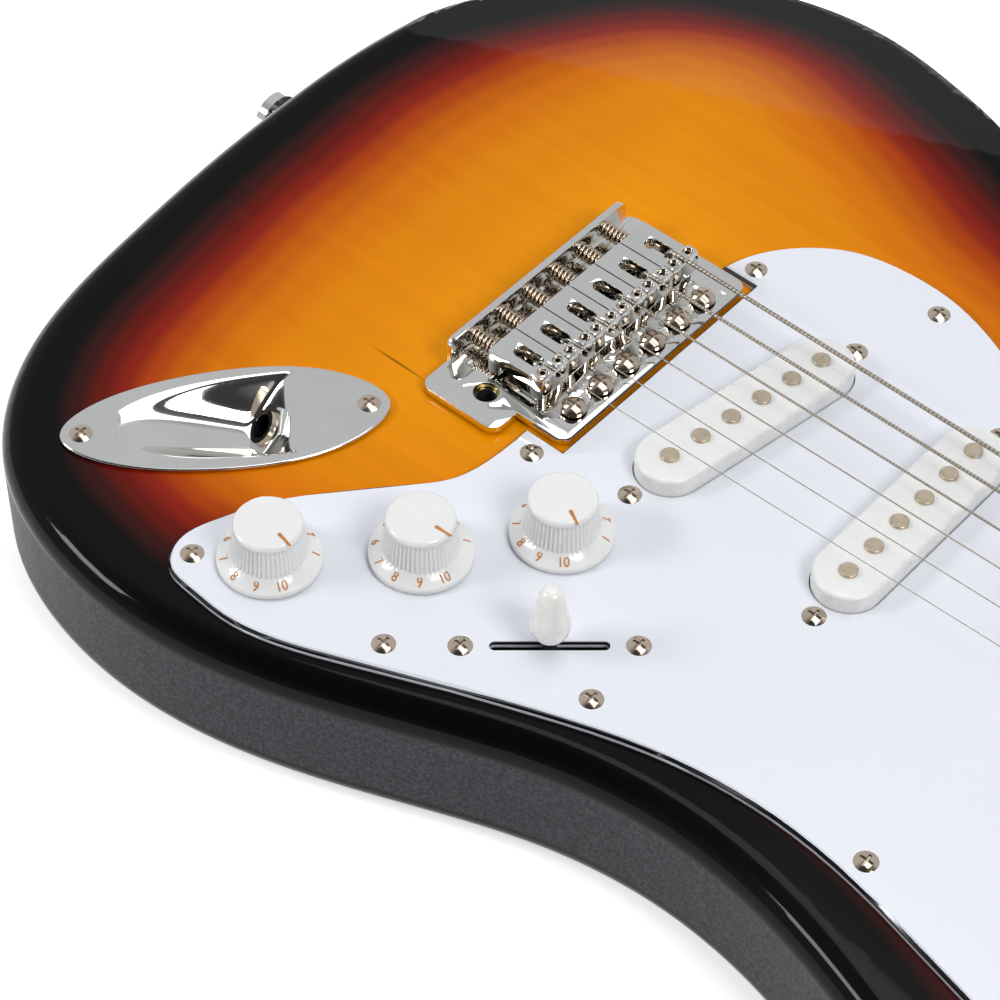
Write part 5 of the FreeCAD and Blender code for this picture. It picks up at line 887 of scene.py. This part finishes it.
def pressed_plate(name, thickness, soft=1.15, steps=220, lanes=96):
    """The leaf-shaped plate: a grid drawn to the outline, pressed down into the cup and given thickness."""
    middle, half = sum(JACK_ENDS) / 2, (JACK_ENDS[1] - JACK_ENDS[0]) / 2
    knots = np.array(JACK_OUTLINE)
    place = (knots[:, 0] - middle) / half
    fullness = np.polyfit(place, knots[:, 1] / np.sqrt(1 - place ** 2), 4)
    deselect()
    bpy.ops.mesh.primitive_grid_add(x_subdivisions=steps, y_subdivisions=lanes, size=2)
    plate = bpy.context.object
    plate.name = plate.data.name = name
    flat = np.array([v.co for v in plate.data.vertices])
    share = -np.cos((flat[:, 0] + 1) * math.pi / 2)
    lane = np.sin(flat[:, 1] * math.pi / 2)
    span = np.sqrt(np.maximum(1 - share ** 2, 0))
    width = span * np.polyval(fullness, share)
    along, across = middle + half * share, width * lane
    lean = np.polyval(fullness, share) * share / np.maximum(span, 1e-4) / half
    inset = (width - np.abs(across)) / np.sqrt(1 + lean ** 2)
    edge = 0.5
    roll = edge * (1 - np.sqrt(np.maximum(1 - np.maximum(1 - inset / edge, 0) ** 2, 0)))
    height = thickness - roll - cup_depth(along, across, soft)
    for vertex, a, b, z in zip(plate.data.vertices, along, across, height):
        vertex.co = on_jack(a, b, z)
    seat, way = jack_axis()

    def in_window(face):
        gap = face.center - seat
        return (gap - way * gap.dot(way)).length < NUT_WINDOW and abs(gap.dot(way)) < 6 * MM

    pick(plate, "FACE", in_window)
    with editing(plate):
        bpy.ops.mesh.delete(type="FACE")
        bpy.ops.mesh.select_mode(type="VERT")
    face_out(plate)
    if max(plate.data.polygons, key=lambda face: face.area).normal.z < 0:
        with editing(plate, "SELECT"):
            bpy.ops.mesh.flip_normals()
    modify(plate, "SOLIDIFY", thickness=(thickness - 0.05) * MM, offset=-1)
    return smooth(face_out(plate), 70)


def paint_bore_shade(obj, start, way, radius):
    """Paints the faces inside a bore near-black: painted shade standing in for the unlit depth of the hole.
    """
    dark = bpy.data.materials.get("painted_bore_shade")
    if dark is None:
        dark, tree, shader = blank("painted_bore_shade", Roughness=0.6, Specular_IOR_Level=0.1)
        cloud = add(tree, "TexNoise", {"Scale": per(2)}, {"Vector": object_space(tree)})
        tint(tree, shader, linear("0c0b0b"), cloud.outputs["Fac"], 0.8, 1.2)
    obj.data.materials.append(dark)
    for polygon in obj.data.polygons:
        gap = polygon.center - start
        if (gap - way * gap.dot(way)).length < radius:
            polygon.material_index = len(obj.data.materials) - 1


class GUITAR_OT_jack(bpy.types.Operator):
    """Pressed jack plate with its cup, nut and socket"""
    bl_idname = "guitar.jack"
    bl_label = "Jack"

    def execute(self, context):
        metal = context.scene.guitar_metal
        chrome = plated("pressed_chrome", metal.chrome, 0.05, 0.11)
        dress(pressed_plate("pressed_jack_plate", 1.3), chrome, "guitar", ["jack_plate"])
        socket = polished("output_jack", "jack_socket", 0.2 * MM, 30)
        dress(socket, plated("nickel_socket", metal.nickel, 0.1, 0.2), "guitar", ["output_jack"])
        # Painted shade: the faces inside the socket's plug bore are painted near-black.
        paint_bore_shade(socket, *jack_axis(), PLUG_BORE)
        nuts = polished("control_nuts", "hexagon_nuts", 0.25 * MM, 30)
        dress(nuts, chrome, "guitar", ["control_nuts"])
        return {"FINISHED"}


# --- bridge ---------------------------------------------------------------------------------------
ARM_HOLE = (-9.2, -36.5)
STRING_PITCH = 10.49
# The two height screws of a saddle: their row, how far each stands to its side, and their tops.
HEIGHT_SCREW_X, HEIGHT_SCREW_SIDES, HEIGHT_SCREW_TOP = 3.2, (-3.0, 3.0), 12.75
SCREW_END = [(1.45, 0.0), *((1.45 - 0.2 * (k % 2), 0.25 * k) for k in range(1, 15)), (1.1, 3.8), (0.5, 4.0)]
SCREW_BOSS = [(2.25, 11.9), (2.25, 12.15), (2.1, 12.4), (1.85, 12.5), (1.62, 12.4), (1.5, 12.0)]


def string_lines():
    """Where each string crosses the bridge, from the bass side to the treble side."""
    return [((STRINGS - 1) / 2 - index) * STRING_PITCH for index in range(STRINGS)]


def grub_screw(top):
    """The end of a headless screw with its rounded rim and hexagonal socket."""
    screw = turned("grub", [(1.4, -1.6), (1.4, -0.3), (1.3, -0.08), (1.1, 0.0), (0.85, 0.0)], 36, top, 40)
    cap = max(screw.data.polygons, key=lambda face: (len(face.vertices), face.center.z)).index
    pick(screw, "FACE", lambda face: face.index == cap)
    screw.data.polygons.active = cap
    with editing(screw):
        bpy.ops.mesh.extrude_region_move(TRANSFORM_OT_translate={"value": (0, 0, -1.3 * MM)})
        bpy.ops.mesh.select_mode(type="VERT")
    for vertex in screw.data.vertices:
        out = Vector((vertex.co.x - top.x, vertex.co.y - top.y))
        if out.length < 0.9 * MM:
            turn = math.atan2(out.y, out.x) % (math.pi / 3) - math.pi / 6
            share = 0.78 * MM * math.cos(math.pi / 6) / math.cos(turn) / out.length
            vertex.co.x, vertex.co.y = top.x + out.x * share, top.y + out.y * share
    return smooth(face_out(screw), 35)


class GUITAR_OT_bridge(bpy.types.Operator):
    """Vibrato bridge: plate, saddles, screws and springs"""
    bl_idname = "guitar.bridge"
    bl_label = "Bridge"

    def execute(self, context):
        metal = context.scene.guitar_metal
        chrome = plated("bridge_chrome", metal.chrome, 0.02, 0.05)
        plate = polished("bridge_plate", "plated_bridge_plate", metal.edge_radius, 40)
        dress(plate, chrome, "vibrato", ["bridge_plate"])
        satin = plated("saddle_chrome", metal.chrome, 0.04, 0.1)
        saddles = polished("saddles", "plated_saddles", 0.3 * MM, 40)
        bosses = [turned("boss", SCREW_BOSS, 32, at(HEIGHT_SCREW_X, y + side))
                  for y in string_lines() for side in HEIGHT_SCREW_SIDES]
        dress(join([saddles] + bosses, "plated_saddles"), satin, "vibrato", ["saddles"])
        nickel = plated("nickel_plate", metal.nickel, 0.08, 0.18, 6, 0.05)
        grubs = []
        for index, y in enumerate(string_lines()):
            for side in HEIGHT_SCREW_SIDES:
                lift = 0.35 * math.sin(2.1 * index + side)
                top = at(HEIGHT_SCREW_X, y + side, HEIGHT_SCREW_TOP + lift)
                grub = grub_screw(top)
                grub.data.materials.append(nickel)
                # Painted shade: the hex socket in each screw's end is painted near-black.
                paint_bore_shade(grub, top, Vector((0, 0, 1)), 0.8 * MM)
                grubs.append(grub)
        dress(join(grubs, "height_screw_tops"), None, "vibrato")
        ends = []
        for y in string_lines():
            end = turned("end", SCREW_END, 28, (0, 0, 0), 50)
            end.matrix_world = Matrix.Translation(at(-9.7, y, 7.2)) @ Matrix.Rotation(math.pi / 2, 4, "Y")
            ends.append(settle(end))
        dress(join(ends, "length_screw_ends"), nickel, "vibrato")
        thread = coil("arm_hole_thread", 3.15 * MM, 0.36 * MM, 9, at(*ARM_HOLE, -5.2), at(*ARM_HOLE, 2.0), 28)
        dress(thread, plated("threaded_brass", linear("a8925c"), 0.15, 0.3), "vibrato")
        paint(["bridge_screws", "pivot_screws", "plate_screws", "machine_screws"], nickel)
        low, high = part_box("intonation_springs")
        outer, z = 2.4 * MM, (low.z + high.z) / 2
        pitch = (high.y - low.y - 2 * outer) / (STRINGS - 1)
        springs = []
        for index in range(STRINGS):
            y = low.y + outer + index * pitch
            springs.append(coil("spring", 1.95 * MM, 0.4 * MM, 7, (low.x, y, z), (high.x, y, z), 20))
        dress(join(springs, "intonation_coils"), nickel, "vibrato", ["intonation_springs"])
        paint(["tremolo_block"], cast_metal("zinc_block", linear("8b8d90"), 0.45))
        paint(["ball_ends"], plated("brass_ball", linear("c9a24a"), 0.25, 0.35))
        return {"FINISHED"}


# --- strings --------------------------------------------------------------------------------------
WOUND = 3


class GUITAR_OT_strings(bpy.types.Operator):
    """Six strings, the three low ones wound"""
    bl_idname = "guitar.strings"
    bl_label = "Strings"

    def execute(self, context):
        row = copy_of(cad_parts["strings"], "string_row")
        face_out(row)
        with editing(row):
            bpy.ops.mesh.separate(type="LOOSE")
        parts = list(context.selected_objects)
        parts.sort(key=lambda obj: -min(obj.data.vertices, key=lambda v: v.co.x).co.y)
        plain = plated("tinned_steel_wire", linear("c4bcae"), 0.18, 0.3)
        for index, obj in enumerate(parts):
            obj.name = obj.data.name = "string_%d" % (index + 1)
            smooth(obj, 60)
            finish = plain
            if index < WOUND:
                pitch = 0.62 - 0.08 * index
                finish = wound_string("wound_string_%d" % (index + 1), linear("b9aea0"), pitch)
            obj.data.materials.clear()
            obj.data.materials.append(finish)
            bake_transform(obj)
            if index == 0:
                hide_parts("strings")
        return {"FINISHED"}


# --- neck, headstock and back ---------------------------------------------------------------------
class GUITAR_OT_neck(bpy.types.Operator):
    """Neck, fretboard, frets and tuners"""
    bl_idname = "guitar.neck"
    bl_label = "Neck and headstock"

    def execute(self, context):
        metal = context.scene.guitar_metal
        neck = polished("neck", "maple_neck")
        dress(neck, long_grain_wood("hard_maple", linear("dcb27a"), linear("c4935a"), 7, 0.35, 0.5),
              "guitar", ["neck"])
        paint(["fretboard"], long_grain_wood("rosewood", linear("4a2c1f"), linear("26140e"), 4, 0.5, 0.1))
        paint(["frets"], plated("nickel_silver_wire", linear("cfcabd"), 0.15, 0.25))
        chrome = plated("tuner_chrome", metal.chrome, 0.06, 0.16)
        paint(["tuner_bushings", "tuner_housings", "string_trees", "neck_plate", "neck_plate_screws",
               "strap_buttons", "headstock_screws"], chrome)
        paint([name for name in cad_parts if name.startswith(("tuner_button", "tuner_post"))], chrome)
        paint(["truss_rod"], cast_metal("black_oxide_steel", linear("3a3a3c"), 0.5))
        return {"FINISHED"}


VIBRATO_SPRINGS = 3


class GUITAR_OT_back(bpy.types.Operator):
    """Vibrato springs, claw, wiring and pots inside the body"""
    bl_idname = "guitar.back"
    bl_label = "Springs and wiring"

    def execute(self, context):
        zinc = plated("galvanised_steel", linear("9c9ea0"), 0.28, 0.4)
        paint(["spring_claw", "claw_screws", "potentiometers"] + [name + "_shaft" for name in KNOBS], zinc)
        paint(["wiring"], insulated_wire())
        paint(["tone_capacitor"], moulded_plastic("dipped_capacitor", linear("8a3f1c"), 0.35))
        low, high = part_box("tremolo_springs")
        radius, wire = 3.2 * MM, 0.7 * MM
        outer, z = radius + wire, (low.z + high.z) / 2
        pitch = (high.y - low.y - 2 * outer) / (VIBRATO_SPRINGS - 1)
        for index in range(VIBRATO_SPRINGS):
            y = low.y + outer + index * pitch
            spring = coil("spring", radius, wire, 44, (low.x + 9 * MM, y, z), (high.x - 8 * MM, y, z), 14)
            hooks = []
            for x0, x1 in ((low.x, low.x + 9.6 * MM), (high.x - 8.6 * MM, high.x)):
                deselect()
                bpy.ops.mesh.primitive_cylinder_add(vertices=12, radius=wire, depth=x1 - x0,
                                                    location=((x0 + x1) / 2, y, z),
                                                    rotation=(0, math.pi / 2, 0))
                hooks.append(smooth(settle(context.object)))
            spring = join([spring] + hooks, "vibrato_spring_%d" % (index + 1))
            spring.data.materials.clear()
            spring.data.materials.append(zinc)
            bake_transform(spring)
            if index == 0:
                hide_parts("tremolo_springs")
        return {"FINISHED"}


# --- stage ----------------------------------------------------------------------------------------
def area_lamp(name, place, target, size, power):
    """A soft lamp of the given width and height in metres and power in watts."""
    deselect()
    bpy.ops.object.light_add(type="AREA", location=place)
    lamp = bpy.context.object
    lamp.name = name
    lamp.data.shape = "RECTANGLE"
    lamp.data.size, lamp.data.size_y = size
    lamp.data.energy = power
    lamp.rotation_euler = (Vector(target) - Vector(place)).to_track_quat("-Z", "Y").to_euler()


def aim_camera(look):
    """The camera over the treble side of the tail, looking down at the controls."""
    azimuth, elevation, roll = math.radians(40.219), math.radians(48.947), math.radians(1.068)
    back = Vector((math.sin(azimuth) * math.cos(elevation), -math.cos(azimuth) * math.cos(elevation),
                   math.sin(elevation)))
    level = Vector((math.cos(azimuth), math.sin(azimuth), 0))
    rise = back.cross(level)
    right = level * math.cos(roll) + rise * math.sin(roll)
    up = rise * math.cos(roll) - level * math.sin(roll)
    place = at(15.73, -59.70) + back * 787.44 * MM
    deselect()
    bpy.ops.object.camera_add()
    camera = bpy.context.object
    camera.matrix_world = Matrix.Translation(place) @ Matrix((right, up, back)).transposed().to_4x4()
    camera.data.sensor_width = 36
    camera.data.lens = look.lens
    camera.data.clip_start, camera.data.clip_end = 0.01, 50
    bpy.context.scene.camera = camera


class GUITAR_OT_stage(bpy.types.Operator):
    """White paper, soft lamps and the camera"""
    bl_idname = "guitar.stage"
    bl_label = "Stage"

    def execute(self, context):
        look = context.scene.guitar_stage
        deselect()
        bpy.ops.mesh.primitive_plane_add(size=12, location=(0, 0, -0.5 * MM))
        floor = context.object
        floor.name = floor.data.name = "paper_floor"
        floor.data.materials.append(stage_paper(look))
        settle(floor)
        world = bpy.data.worlds.new("studio")
        world.use_nodes = True
        context.scene.world = world
        tree = world.node_tree
        background = tree.nodes["Background"]
        background.inputs["Strength"].default_value = 0.62
        # The studio is pale ahead and dark behind the camera, which gives polished metal its contrast.
        way = add(tree, "TexCoord").outputs["Generated"]
        toward = add(tree, "VectorMath", {"operation": "DOT_PRODUCT", 1: (0.42, -0.5, 0.757)},
                     {0: way})
        shade = add(tree, "MapRange", {"From Min": 0.35, "From Max": 0.8, "To Min": 1.0, "To Max": 0.08},
                    {"Value": toward.outputs["Value"]})
        hue = add(tree, "Mix", {"data_type": "RGBA", "blend_type": "MULTIPLY", 0: 1.0,
                                          6: (0.93, 0.95, 1.0, 1)}, {7: shade.outputs["Result"]})
        tree.links.new(hue.outputs[2], background.inputs["Color"])
        area_lamp("overhead", (-0.25, 0.35, 1.9), (-0.3, 0, 0), (1.4, 1.0), 10)
        area_lamp("right_window", (0.95, -0.25, 1.4), (-0.35, -0.05, 0), (0.7, 0.7), 15)
        area_lamp("left_strip", (-1.35, -1.05, 0.95), (-0.43, -0.13, 0), (0.55, 0.3), 9)
        aim_camera(look)
        context.scene.view_settings.view_transform = "Standard"
        return {"FINISHED"}


class GUITAR_PT_panel(bpy.types.Panel):
    """Buttons for each group of pieces"""
    bl_idname = "GUITAR_PT_panel"
    bl_label = "Electric guitar"
    bl_space_type = "VIEW_3D"
    bl_region_type = "UI"
    bl_category = "Guitar"

    def draw(self, context):
        for operator in OPERATORS:
            self.layout.operator(operator.bl_idname)
        for group in ("guitar_body", "guitar_plastic", "guitar_metal", "guitar_stage"):
            settings = getattr(context.scene, group)
            for name in settings.__annotations__:
                self.layout.prop(settings, name)


OPERATORS = (GUITAR_OT_stage, GUITAR_OT_body, GUITAR_OT_plastics, GUITAR_OT_knobs, GUITAR_OT_switch,
             GUITAR_OT_jack, GUITAR_OT_bridge, GUITAR_OT_strings, GUITAR_OT_neck, GUITAR_OT_back)
GROUPS = {"guitar_body": GuitarBodyLook, "guitar_plastic": GuitarPlasticLook,
          "guitar_metal": GuitarMetalLook, "guitar_stage": GuitarStage}


def register():
    for group in GROUPS.values():
        bpy.utils.register_class(group)
    for operator in OPERATORS:
        bpy.utils.register_class(operator)
    bpy.utils.register_class(GUITAR_PT_panel)
    for name, group in GROUPS.items():
        setattr(bpy.types.Scene, name, bpy.props.PointerProperty(type=group))


def unregister():
    for name in GROUPS:
        delattr(bpy.types.Scene, name)
    bpy.utils.unregister_class(GUITAR_PT_panel)
    for operator in reversed(OPERATORS):
        bpy.utils.unregister_class(operator)
    for group in GROUPS.values():
        bpy.utils.unregister_class(group)


def main():
    register()
    bpy.ops.guitar.stage()
    bpy.ops.guitar.body()
    bpy.ops.guitar.plastics()
    bpy.ops.guitar.knobs()
    bpy.ops.guitar.switch()
    bpy.ops.guitar.jack()
    bpy.ops.guitar.bridge()
    bpy.ops.guitar.strings()
    bpy.ops.guitar.neck()
    bpy.ops.guitar.back()


if __name__ == "__main__":
    main()
